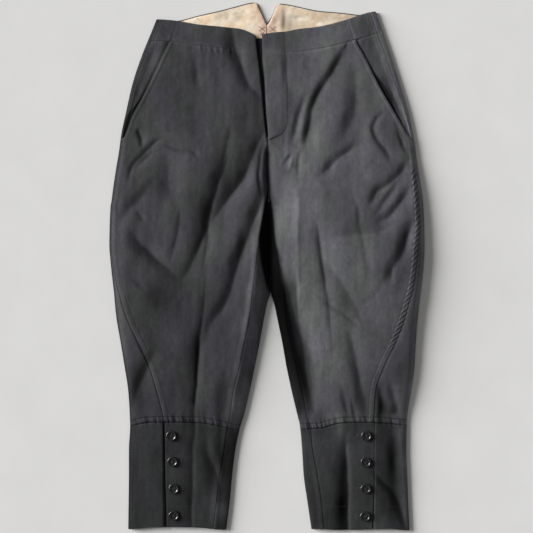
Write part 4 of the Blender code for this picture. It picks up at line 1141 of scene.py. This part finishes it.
def aged_cotton():
    """Cream cotton with tan stains, pink by the notch and browner towards the wearer's left."""
    shade = Shader("cream_lining")
    stains = shade.noise((0.035, 0.05, 0.035), 4.0, 0.6)
    blots = shade.noise((0.09, 0.12, 0.09), 3.0, 0.6)
    threads, cross = shade.noise((2.2, 0.5, 2.0)), shade.noise((0.5, 2.2, 2.0))
    across = shade.across()
    colour = shade.mix(shade.stretch(stains, 0.40, 0.62), (0.92, 0.81, 0.65, 1),
                       (0.80, 0.62, 0.43, 1))
    colour = shade.mix(shade.stretch(blots, 0.56, 0.70, 0.0, 0.6), colour,
                       (0.50, 0.34, 0.22, 1))
    pink = shade.stretch(shade.math("ABSOLUTE", across, 0.0), 0.004, 0.032, 0.75, 0.0)
    colour = shade.mix(pink, colour, (0.66, 0.42, 0.34, 1))
    brown = shade.stretch(across, 0.030, 0.110, 0.0, 0.55)
    colour = shade.mix(shade.math("MULTIPLY", brown, shade.stretch(stains, 0.3, 0.6)), colour,
                       (0.34, 0.24, 0.17, 1))
    weave = shade.math("ADD", threads, cross)
    colour = shade.mix(shade.stretch(weave, 0.8, 1.2, 0.0, 0.25), colour, (0.62, 0.50, 0.36, 1))
    # The tone mark pales and darkens it with its stains and with painted light and shade.
    return shade.finish(shade.shaded(colour, shade.mark("tone")),
                        shade.stretch(stains, 0.3, 0.7, 0.80, 0.92),
                        {"Specular IOR Level": 0.2}, (weave, 0.4, 0.0004))


THIN_WALL = 1.0
LINING_INSET = 2.0
LINING_EDGE_GAP = 1.0
LINING_UNEVENNESS = ((0.35, 17, 12, 21), (0.2, 6, 6, 22))
LINING_LIFT, MOST_LINING_LIFT = 0.5, 0.9
PALEST_LINING = 1.08
LINING_CREASES = {"right": (), "left": ((26, 403, 2.4, 20, 0.55), (50, 408, 13, 2.2, 0.35),
                                        (40, 392, 3.0, 12, 0.30))}
# Paler and darker patches on the lining, partly age stains and partly painted light and shade along
# its creases: the middle, the reach across and along, and the change.
LINING_STAINS_AND_SHADE = {
    "right": ((-99, 401, 10, 12, 0.22), (-24, 409, 8, 14, 0.22), (-42, 393, 10, 8, 0.15),
              (-73, 414, 14, 9, -0.25), (-50, 406, 6, 8, -0.12)),
    "left": ((27, 403, 3.2, 20, -0.60), (35, 397, 10, 16, -0.42), (18, 394, 3.4, 12, 0.20),
             (50, 408, 13, 2.6, -0.30), (81, 401, 16, 8, 0.22), (12, 402, 5, 12, -0.20)),
}
CREAM_LINING = aged_cotton()
for word, leg in LEGS.items():
    rows = np.linspace(0, 1, 26)
    start, end = (leg.find(lambda level: leg.across(name, level), rows, "back_top", "waist_seam")
                  for name in ("outer", "inner"))
    start = (start - leg.side * (FOLDED_EDGE / 2 + LINING_EDGE_GAP))[:, None]
    rows, end = rows[:, None], end[:, None]
    x = start + (end + leg.side * SEAM - start) * crowded(90)
    y = leg.level(x, rows, "back_top", "waist_seam") - LINING_INSET * (1 - rows)
    lift = LINING_LIFT + layers(x, y, LINING_UNEVENNESS) - patches(x, y, LINING_CREASES[word])
    edge = np.clip(np.minimum(rows, 1 - rows) * 10, 0, 1)
    inner = grid(x, y, WALL + SEAM)
    outer = grid(x, y, WALL + SEAM + THIN_WALL + np.clip(lift, 0, MOST_LINING_LIFT) * edge)
    stains_and_shade = np.minimum(1 + patches(x, y, LINING_STAINS_AND_SHADE[word]), PALEST_LINING)
    cloth(f"band_lining_{word}", f"waistband_lining_{word}", CREAM_LINING, outer,
          inner, {"tone": stains_and_shade})


# The fly
# The J-shaped flap of the left front is stitched down along its curve and covers the closing. Its
# folded edge stands over a narrow black shield.

FLY = Table(("level", "stitch_line"), ((392, 26.0), (349, 29.0), (284, 33.0), (240, 34.0),
                                       (225, 31.0), (214, 23.0), (209, 13.0), (206, 5.0)))
FLY_TOP_LEVEL = 372.0
FLY_END_LEVEL = 206.0
LAYER_GAP = 0.35
FLY_STITCHED_OUTER, FLY_STITCHED_INNER = 0.14, 0.04
FLY_EDGE_ROUNDING, FLY_EDGE_SHADE = 0.5, 0.65
SHIELD_ENDS = (372.0, 212.0)
SHIELD_SIDES = (-27.0, 5.0)
SHIELD_DEPTH = HIDDEN_DEPTH + 0.6
# How dark the shield is painted, as the shade inside the closing.
SHIELD_SHADE = 0.22


def fly_height(share, stitched, standing):
    """How high a layer of the fly stands, share running from its folded edge to its stitches."""
    return stitched + (standing - stitched) * (1 - share ** 3)


rows, columns = np.linspace(0, 1, 90)[:, None], crowded(26, 0.7)
level = FLY_TOP_LEVEL * (1 - rows) + FLY_END_LEVEL * rows
first, last = LEFT.inner_side(level), FLY.at("stitch_line", level)
x = first + (last - first) * columns
y = level + (LEFT.seams.at("front_top", x) - FLY_TOP_LEVEL) * (1 - rows)
from_edge = columns * (last - first)
top = LEFT.top(x, y)
outer = grid(x, y, top + fly_height(columns, FLY_STITCHED_OUTER, LAYER_GAP + THIN_WALL)
             - FLY_EDGE_ROUNDING * dip(from_edge, 0.7))
inner = grid(x, y, top + fly_height(columns, FLY_STITCHED_INNER, LAYER_GAP))
marks = marks_of(LEFT, outer)
# Painted shade along the flap's folded edge.
marks["tone"] *= 1 - FLY_EDGE_SHADE * dip(from_edge, 1.2)
cloth("fly_flap", "fly", BLACK_TWILL, outer, inner, marks)

x, y = np.meshgrid(np.linspace(*SHIELD_SIDES, 16), np.linspace(*SHIELD_ENDS, 60))
top = np.minimum(RIGHT.top(x, y), LEFT.top(x, y)) - SHIELD_DEPTH
marks = {"wear": np.zeros(x.shape), "tone": np.full(x.shape, SHIELD_SHADE)}
cloth("closing_shield", "fly_shield", BLACK_TWILL, grid(x, y, top),
      grid(x, y, top - THIN_WALL), marks)


# The cuffs
# Tall cuffs of a closer, darker twill button at the outside of the calf. The front one is the
# flap with the buttonholes; the back one comes round and carries the button stand under it.

CUFF_TWILL = twill("cuff_twill", dark=(0.022, 0.022, 0.023, 1), faded=(0.052, 0.052, 0.054, 1),
                   cool=(0.98, 0.99, 1.02, 1), warm=(1.0, 1.03, 0.99, 1))
BUTTON_STAND = 26.0
HEM_ROUNDING = (0.45, 0.12)
CUFF_ROWS = crowded(84)
CUFF_COLUMNS = crowded(64, 0.8)
CUFF_STRIP = np.linspace(0, 1, 60)
STAND_RISES = (0.315, 0.055)
STAND_DROPS = HIDDEN_DEPTH * (1 - flow(CUFF_STRIP, (0.0, STAND_RISES[0], sum(STAND_RISES), 1.0),
                                       (0.0, 0.0, 1.0, 1.0)))
for word, leg in LEGS.items():
    outer, inner = laid_shell(leg, leg.seam_side, leg.inner_side, "cuff_seam", "hem", CUFF_ROWS,
                              CUFF_COLUMNS, trim_bottom=0.0)
    outer[-1, :, 2] -= HEM_ROUNDING[0]
    outer[-2, :, 2] -= HEM_ROUNDING[1]
    cloth(f"cuff_flap_{word}", f"cuff_front_{word}", CUFF_TWILL, outer, inner,
          marks_of(leg, outer))

    outer, inner, kept = wrapped_grid(leg, "cuff_seam", "hem", CUFF_ROWS, CUFF_STRIP,
                                      STAND_DROPS, BUTTON_STAND, trim_bottom=0.0)
    cloth(f"cuff_round_{word}", f"cuff_back_{word}", CUFF_TWILL, outer, inner,
          marks_of(leg, outer), kept)


# The sewing
# Everything is topstitched with black cotton thread a little glossier than the cloth: the side
# seams, pocket mouths, fly, waistband, cuffs and hems. Satin stitches edge the buttonholes and
# tack the pocket ends and the foot of the fly; brown thread crosses the lining by the notch.

STITCH_SIZES = ("Pitch", "Along", "Across", "Height")


def thread(name, dark, pale):
    """Twisted cotton thread."""
    shade = Shader(name)
    strands = shade.noise((1.6, 1.6, 1.6))
    return shade.finish(shade.mix(strands, dark, pale), shade.stretch(strands, 0.3, 0.7, 0.5, 0.7),
                        {"Specular IOR Level": 0.3})


def stitching(name, seed):
    """Geometry Nodes that lay one stitch after another along the piece's own lines."""
    tree = bpy.data.node_groups.new(name, "GeometryNodeTree")
    tree.interface.new_socket("Geometry", in_out="INPUT", socket_type="NodeSocketGeometry")
    tree.interface.new_socket("Geometry", in_out="OUTPUT", socket_type="NodeSocketGeometry")
    kinds = dict.fromkeys(STITCH_SIZES, "NodeSocketFloat") | {"Thread": "NodeSocketMaterial"}
    sockets = {size: tree.interface.new_socket(size, in_out="INPUT", socket_type=kind).identifier
               for size, kind in kinds.items()}

    def add(kind, links=None, **settings):
        return add_node(tree, kind, links, **settings)

    given = add("NodeGroupInput").outputs
    line = add("GeometryNodeMeshToCurve", {"Mesh": given["Geometry"]}).outputs["Curve"]
    spaced = add("GeometryNodeResampleCurve", {"Curve": line, "Length": given["Pitch"]},
                 mode="LENGTH").outputs["Curve"]
    bead = add("GeometryNodeMeshUVSphere", {"Segments": 5, "Rings": 4, "Radius": 0.5})
    tangent = add("GeometryNodeInputTangent").outputs["Tangent"]
    turn = add("FunctionNodeAlignRotationToVector", {"Vector": tangent}, axis="X",
               pivot_axis="Z").outputs["Rotation"]
    size = add("ShaderNodeCombineXYZ", {"X": given["Along"], "Y": given["Across"],
                                        "Z": given["Height"]}).outputs["Vector"]
    uneven = add("FunctionNodeRandomValue", {"Min": (0.85, 0.85, 0.85), "Max": (1.1, 1.15, 1.1),
                                             "Seed": seed}, data_type="FLOAT_VECTOR")
    size = add("ShaderNodeVectorMath", {0: size, 1: uneven.outputs[0]}, operation="MULTIPLY")
    laid = add("GeometryNodeInstanceOnPoints", {
        "Points": spaced, "Instance": bead.outputs["Mesh"], "Rotation": turn,
        "Scale": size.outputs["Vector"]}).outputs["Instances"]
    real = add("GeometryNodeRealizeInstances", {"Geometry": laid}).outputs["Geometry"]
    dyed = add("GeometryNodeSetMaterial", {"Geometry": real, "Material": given["Thread"]})
    add("NodeGroupOutput", {"Geometry": dyed.outputs["Geometry"]})
    return tree, sockets


STITCHING, STITCH_SOCKETS = stitching("stitching", 4)


def sew(name, lines, sizes, material):
    """Lays stitches of the given sizes along lines of points and makes them a plain mesh."""
    points, edges = [], []
    for line in lines:
        edges += [(i, i + 1) for i in range(len(points), len(points) + len(line) - 1)]
        points += (np.asarray(line) * MM).tolist()
    mesh = bpy.data.meshes.new(name + "_lines")
    mesh.from_pydata(points, edges, [])
    seam = put(name, mesh)
    sewing = seam.modifiers.new("sewing", "NODES")
    sewing.node_group = STITCHING
    for size, value in zip(STITCH_SIZES, sizes):
        sewing[STITCH_SOCKETS[size]] = value * MM
    sewing[STITCH_SOCKETS["Thread"]] = material
    ready = seam.evaluated_get(bpy.context.evaluated_depsgraph_get())
    done = bpy.data.meshes.new_from_object(ready)
    done.name = name
    seam.modifiers.clear()
    seam.data = done
    done.shade_smooth()
    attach(seam, "root")


STITCH_LIFT = 0.12


def on_cloth(leg, x, y, lift=STITCH_LIFT):
    """Points of a line that lies on the cloth."""
    x, y = np.broadcast_arrays(np.asarray(x, float), np.asarray(y, float))
    return grid(x, y, leg.top(x, y) + lift)


def straight(leg, ends, count, lift=STITCH_LIFT):
    """Points of a straight line on the cloth between two ends."""
    return on_cloth(leg, *np.linspace(*ends, count).T, lift)


BLACK_THREAD = thread("black_thread", (0.020, 0.020, 0.022, 1), (0.075, 0.075, 0.080, 1))
KNOT_THREAD = thread("faded_thread", (0.060, 0.058, 0.055, 1), (0.170, 0.160, 0.150, 1))
# Near-black beads laid in each buttonhole slit as a painted shadow.
SLIT_SHADE = thread("slit_shade", (0.003, 0.003, 0.003, 1), (0.008, 0.008, 0.008, 1))
BROWN_THREAD = thread("brown_thread", (0.110, 0.050, 0.030, 1), (0.260, 0.140, 0.090, 1))
# Sizes of the stitches: the pitch, then each stitch along, across and high.
RUNNING = (2.9, 2.3, 0.42, 0.26)
SATIN = (0.62, 0.60, 2.0, 0.45)
CORD = (0.9, 1.5, 0.8, 0.7)
SIDE_LINES = {"right": (9.0,), "left": (2.2, 9.0)}
MOUTH_LINES = {"right": (5.6,), "left": (1.6, 5.6)}
FLAP_EDGE_LINE = 2.4
FLY_LINE = 1.6
CUFF_LINE = 7.8
CUFF_SEAM_LEVEL = -258.0
HEM_LINE = -392.5
BAND_LINE, BAND_LIFT, BAND_LEVEL = 2.0, 0.05, 385.0
# Where lines that run along the leg start and end, and the number of their points.
SIDE_SPAN = (POCKET_END_LEVEL - 6, -252, 160)
MOUTH_SPAN = (362, POCKET_END_LEVEL + 3, 70)
FLAP_SPAN = (-268, -424, 50)
FLY_SPAN = (FLY_TOP_LEVEL + 2, FLY_END_LEVEL + 2, 70)
# How far lines that run across stay inside the folded edges, the flap's edge and the fly.
CUFF_MARGIN, TURNED_MARGIN, FLAP_MARGIN, FLY_MARGIN = 9, 8, (2, 3), 36
BAND_SEAMS = {"right": (((-149, 396), (-158, 369)), ((-181, 401), (-160, 377))),
              "left": (((136, 402), (147, 367)),)}
TACKS = {"right": (((-236.5, 206), (-231, 209.5)),),
         "left": (((231, 209.5), (237.5, 206)), ((0.5, 208), (6.5, 205.5)))}
TACK_LIFT = 0.4

for word, leg in LEGS.items():
    side = leg.side
    y = np.linspace(*SIDE_SPAN)
    lines = [on_cloth(leg, leg.across("side_seam", y) - side * inside, y)
             for inside in SIDE_LINES[word]]
    y = np.linspace(*MOUTH_SPAN)
    lines += [on_cloth(leg, leg.mouth.at("mouth", y) - side * inside, y)
              for inside in MOUTH_LINES[word]]
    x = np.linspace(leg.across("outer", CUFF_SEAM_LEVEL) - side * CUFF_MARGIN,
                    leg.across("inner", CUFF_SEAM_LEVEL) + side * CUFF_MARGIN, 60)
    lines.append(on_cloth(leg, x, leg.seams.at("cuff_seam", x) + CUFF_LINE))
    x = np.linspace(leg.across("outer", BAND_LEVEL) - side * TURNED_MARGIN, side * FLY_MARGIN, 90)
    lines.append(on_cloth(leg, x, leg.seams.at("waist_seam", x) + BAND_LINE, BAND_LIFT))
    lines += [straight(leg, ends, 12) for ends in BAND_SEAMS[word]]
    sew(f"topstitching_{word}", lines, RUNNING, BLACK_THREAD)

    outer_x, flap_x, inner_x = (leg.across(name, HEM_LINE)
                                for name in ("outer", "side_seam", "inner"))
    x = np.linspace(flap_x - side * FLAP_MARGIN[0], inner_x + side * TURNED_MARGIN, 50)
    lines = [on_cloth(leg, x, HEM_LINE)]
    x = np.linspace(outer_x - side * TURNED_MARGIN, flap_x + side * FLAP_MARGIN[1], 30)
    lines.append(on_cloth(leg, x, HEM_LINE))
    y = np.linspace(*FLAP_SPAN)
    lines.append(on_cloth(leg, leg.across("side_seam", y) - side * FLAP_EDGE_LINE, y))
    sew(f"cuff_stitching_{word}", lines, RUNNING, BLACK_THREAD)

level = np.linspace(*FLY_SPAN)
first, last = LEFT.inner_side(level), FLY.at("stitch_line", level)
x = last - FLY_LINE
raised = fly_height(np.clip((x - first) / (last - first), 0, 1), FLY_STITCHED_OUTER,
                    LAYER_GAP + THIN_WALL)
sew("fly_stitching", [on_cloth(LEFT, x, level, raised + STITCH_LIFT)], RUNNING, BLACK_THREAD)

for word, leg in LEGS.items():
    sew(f"tacks_{word}", [straight(leg, ends, 8, TACK_LIFT) for ends in TACKS[word]], SATIN,
        KNOT_THREAD)

CROSSES = ((-9, 388, 4.5), (8, 388, 4.5), (-9, 380, 2.2), (8, 380, 2.2))
CROSS_SLANT, CROSS_RISE = 0.8, 0.3
LINING_TOP = WALL + SEAM + THIN_WALL + 1.0
along = np.linspace(-1, 1, 7)
lines = [grid(across + way * reach * along, level + reach * CROSS_SLANT * along,
              LINING_TOP + CROSS_RISE * (1 - along ** 2))
         for across, level, reach in CROSSES for way in (-1, 1)]
sew("lining_crosses", lines, CORD, BROWN_THREAD)


# The buttons
# Four buttons of glossy black plastic close each cuff. A raised rim runs round a dished middle
# with four holes, and black thread crosses them. Each has a keyhole buttonhole beside it.

BUTTON_DIAMETER = 17.0
BUTTON_HEIGHT = 2.7
HOLE_SPACING = 4.6
HOLE_DIAMETER = 2.0
HOLE_SIDES = 20
BUTTON_SIDES = 72
BUTTON_TURN_SEED = 6
MOST_BUTTON_TURN = 0.6
BUTTON_PLACES = {"right": ((-156, -277), (-154, -319), (-152, -363), (-152, -407)),
                 "left": ((162, -277), (161, -320), (161, -363), (160, -408))}
# From the middle of the face over the rim to the middle of the back, as shares of the button's
# radius and height.
BUTTON_PROFILE = ((0.0, 0.50), (0.30, 0.50), (0.48, 0.52), (0.58, 0.57), (0.66, 0.68),
                  (0.71, 0.82), (0.75, 0.93), (0.80, 0.985), (0.85, 1.0), (0.90, 0.97),
                  (0.945, 0.89), (0.975, 0.77), (0.993, 0.62), (1.0, 0.45), (0.985, 0.28),
                  (0.93, 0.12), (0.80, 0.0), (0.0, 0.0))
THREAD_RISE, THREAD_DIVE = 0.45, 0.9
BUTTONHOLE_NEAR, BUTTONHOLE_EYE, BUTTONHOLE_HALF = 2.0, 13.4, 1.1
EYE_RADIUS, EYE_OPENING, EYE_NECK = 1.9, math.radians(145), 1.6
CROSSED_STITCH = (0.45, 0.9, 0.6, 0.6)
BUTTONHOLE_STITCH, BUTTONHOLE_LIFT = (0.55, 0.62, 1.7, 0.4), 0.2
SLIT_STITCH, SLIT_LIFT, SLIT_PAST_EYE = (0.8, 1.3, 0.9, 0.25), 0.1, 0.6


def moulded_plastic():
    """Glossy black plastic with fine rubbing, a little paler in patches."""
    shade = Shader("black_button")
    rubbed = shade.noise((0.9, 0.9, 0.9), 4.0, 0.65)
    colour = shade.mix(shade.stretch(rubbed, 0.5, 0.8), (0.010, 0.010, 0.011, 1),
                       (0.030, 0.030, 0.030, 1))
    return shade.finish(colour, shade.stretch(rubbed, 0.3, 0.8, 0.20, 0.42),
                        {"Specular IOR Level": 0.5, "Coat Weight": 0.18, "Coat Roughness": 0.2},
                        (rubbed, 0.12, 0.0002))


def turned(name, profile, sides):
    """A closed mesh turned about Z from a profile that starts and ends on the axis."""
    angles = np.linspace(0, 2 * math.pi, sides, endpoint=False)
    points = [(0.0, 0.0, profile[0][1] * MM)]
    for radius, height in profile[1:-1]:
        points += [(radius * math.cos(a) * MM, radius * math.sin(a) * MM, height * MM)
                   for a in angles]
    points.append((0.0, 0.0, profile[-1][1] * MM))
    faces = [(0, 1 + i, 1 + (i + 1) % sides) for i in range(sides)]
    for ring in range(len(profile) - 3):
        a, b = 1 + ring * sides, 1 + (ring + 1) * sides
        faces += [(a + i, b + i, b + (i + 1) % sides, a + (i + 1) % sides) for i in range(sides)]
    a, end = 1 + (len(profile) - 3) * sides, len(points) - 1
    faces += [(a + i, end, a + (i + 1) % sides) for i in range(sides)]
    mesh = bpy.data.meshes.new(name)
    mesh.from_pydata(points, [], faces)
    return mesh


def drilled_button(material):
    """A turned button with four holes cut through it."""
    profile = [(r * BUTTON_DIAMETER / 2, h * BUTTON_HEIGHT) for r, h in BUTTON_PROFILE]
    blank = put("button_blank", turned("button", profile, BUTTON_SIDES))
    radius, step = HOLE_DIAMETER / 2, HOLE_SPACING / 2
    drill = turned("drill", ((0, 2 * BUTTON_HEIGHT), (radius, 2 * BUTTON_HEIGHT),
                             (radius, -BUTTON_HEIGHT), (0, -BUTTON_HEIGHT)), HOLE_SIDES)
    drills = []
    for across, along in ((-1, -1), (1, -1), (1, 1), (-1, 1)):
        tool = put("drill", drill)
        tool.location = (across * step * MM, along * step * MM, 0)
        drills.append(tool)
        hole = blank.modifiers.new("hole", "BOOLEAN")
        hole.object, hole.operation = tool, "DIFFERENCE"
    bpy.context.view_layer.update()
    ready = blank.evaluated_get(bpy.context.evaluated_depsgraph_get())
    mesh = bpy.data.meshes.new_from_object(ready)
    for item in drills + [blank]:
        bpy.data.objects.remove(item)
    mesh.materials.clear()
    mesh.materials.append(material)
    mesh.shade_smooth()
    mesh.set_sharp_from_angle(angle=math.radians(40))
    return mesh


def keyhole():
    """The line round a buttonhole, from the button's side to the round eye and back."""
    neck = BUTTONHOLE_EYE - EYE_NECK
    path = [(BUTTONHOLE_NEAR, BUTTONHOLE_HALF), (neck, BUTTONHOLE_HALF)]
    path += [(BUTTONHOLE_EYE + EYE_RADIUS * math.cos(a), EYE_RADIUS * math.sin(a))
             for a in np.linspace(EYE_OPENING, -EYE_OPENING, 14)]
    return np.array(path + [(neck, -BUTTONHOLE_HALF), (BUTTONHOLE_NEAR, -BUTTONHOLE_HALF)])


BUTTON = drilled_button(moulded_plastic())
BUTTONHOLE = keyhole()
turns = np.random.default_rng(BUTTON_TURN_SEED)
for word, leg in LEGS.items():
    crossed, edges, slits = [], [], []
    for number, (across, level) in enumerate(BUTTON_PLACES[word], start=1):
        around = np.linspace(0, 2 * math.pi, 13)[:-1]
        rim = leg.top(across + BUTTON_DIAMETER / 2 * np.cos(around),
                      level + BUTTON_DIAMETER / 2 * np.sin(around))
        seat = float(np.max(rim)) + SEAM
        turn = turns.uniform(-MOST_BUTTON_TURN, MOST_BUTTON_TURN)
        cos, sin = math.cos(turn), math.sin(turn)
        mesh = BUTTON.copy()
        corner = np.zeros(len(mesh.vertices) * 3)
        mesh.vertices.foreach_get("co", corner)
        x, y, z = corner.reshape(-1, 3).T
        placed = np.stack((x * cos - y * sin + across * MM, x * sin + y * cos + level * MM,
                           z + seat * MM), axis=-1)
        mesh.vertices.foreach_set("co", placed.reshape(-1))
        button = put(f"cuff_button_{word}_{number}", mesh)
        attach(button, "root")
        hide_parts(f"button_{word}_{number}")

        along = np.linspace(-1, 1, 11)
        dish = seat + BUTTON_HEIGHT * BUTTON_PROFILE[0][1]
        for way in (-1, 1):
            dx, dy = along * HOLE_SPACING / 2, way * along * HOLE_SPACING / 2
            crossed.append(grid(across + dx * cos - dy * sin, level + dx * sin + dy * cos,
                                dish + THREAD_RISE - THREAD_DIVE * along ** 4))

        edges.append(on_cloth(leg, across - leg.side * BUTTONHOLE[:, 0], level + BUTTONHOLE[:, 1],
                              BUTTONHOLE_LIFT))
        slit = np.linspace(BUTTONHOLE_NEAR, BUTTONHOLE_EYE + SLIT_PAST_EYE, 8)
        slits.append(on_cloth(leg, across - leg.side * slit, level, SLIT_LIFT))
    sew(f"button_thread_{word}", crossed, CROSSED_STITCH, BLACK_THREAD)
    sew(f"buttonholes_{word}", edges, BUTTONHOLE_STITCH, BLACK_THREAD)
    sew(f"buttonhole_slits_{word}", slits, SLIT_STITCH, SLIT_SHADE)


# The floor, the light and the camera
# The trousers lie on a plain pale floor. Soft light comes from the left at a low angle, and the
# camera looks straight down.

FLOOR_SIZE = 6.0
FLOOR_GAP = 0.0004
CAMERA_HEIGHT = 1.6
CAMERA_LEVEL = 0.008
VIEW_WIDTH = 0.869
VIEW_CENTRE = (-0.0008, -0.0008)
SENSOR = 36.0
WINDOW_FROM = (-0.90, 0.30, 0.27)
WINDOW_STRENGTH = 8.4
WINDOW_SPREAD = 32.0
ROOM_LIGHT = 0.20

half = FLOOR_SIZE / 2
mesh = bpy.data.meshes.new("floor")
mesh.from_pydata([(-half, -half, 0), (half, -half, 0), (half, half, 0), (-half, half, 0)], [],
                 [(0, 1, 2, 3)])
shade = Shader("pale_floor")
mottle = shade.noise((0.012, 0.012, 0.012), 4.0, 0.6)
mesh.materials.append(shade.finish(
    shade.mix(mottle, (0.70, 0.695, 0.68, 1), (0.77, 0.765, 0.75, 1)), 0.9,
    {"Specular IOR Level": 0.1}))
floor = put("floor", mesh)
floor.location.z = -FLOOR_GAP

data = bpy.data.lights.new("window_light", "SUN")
data.energy, data.angle = WINDOW_STRENGTH, math.radians(WINDOW_SPREAD)
window = put("window_light", data)
window.rotation_euler = Vector(WINDOW_FROM).to_track_quat("Z", "Y").to_euler()

world = bpy.data.worlds.new("room")
world.use_nodes = True
world.node_tree.nodes["Background"].inputs["Color"].default_value = (1, 1, 1, 1)
world.node_tree.nodes["Background"].inputs["Strength"].default_value = ROOM_LIGHT
bpy.context.scene.world = world

data = bpy.data.cameras.new("camera")
data.sensor_width = SENSOR
data.lens = SENSOR * CAMERA_HEIGHT / VIEW_WIDTH
camera = put("camera", data)
camera.location = (*VIEW_CENTRE, CAMERA_LEVEL + CAMERA_HEIGHT)
bpy.context.scene.camera = camera
bpy.context.scene.view_settings.view_transform = "Standard"
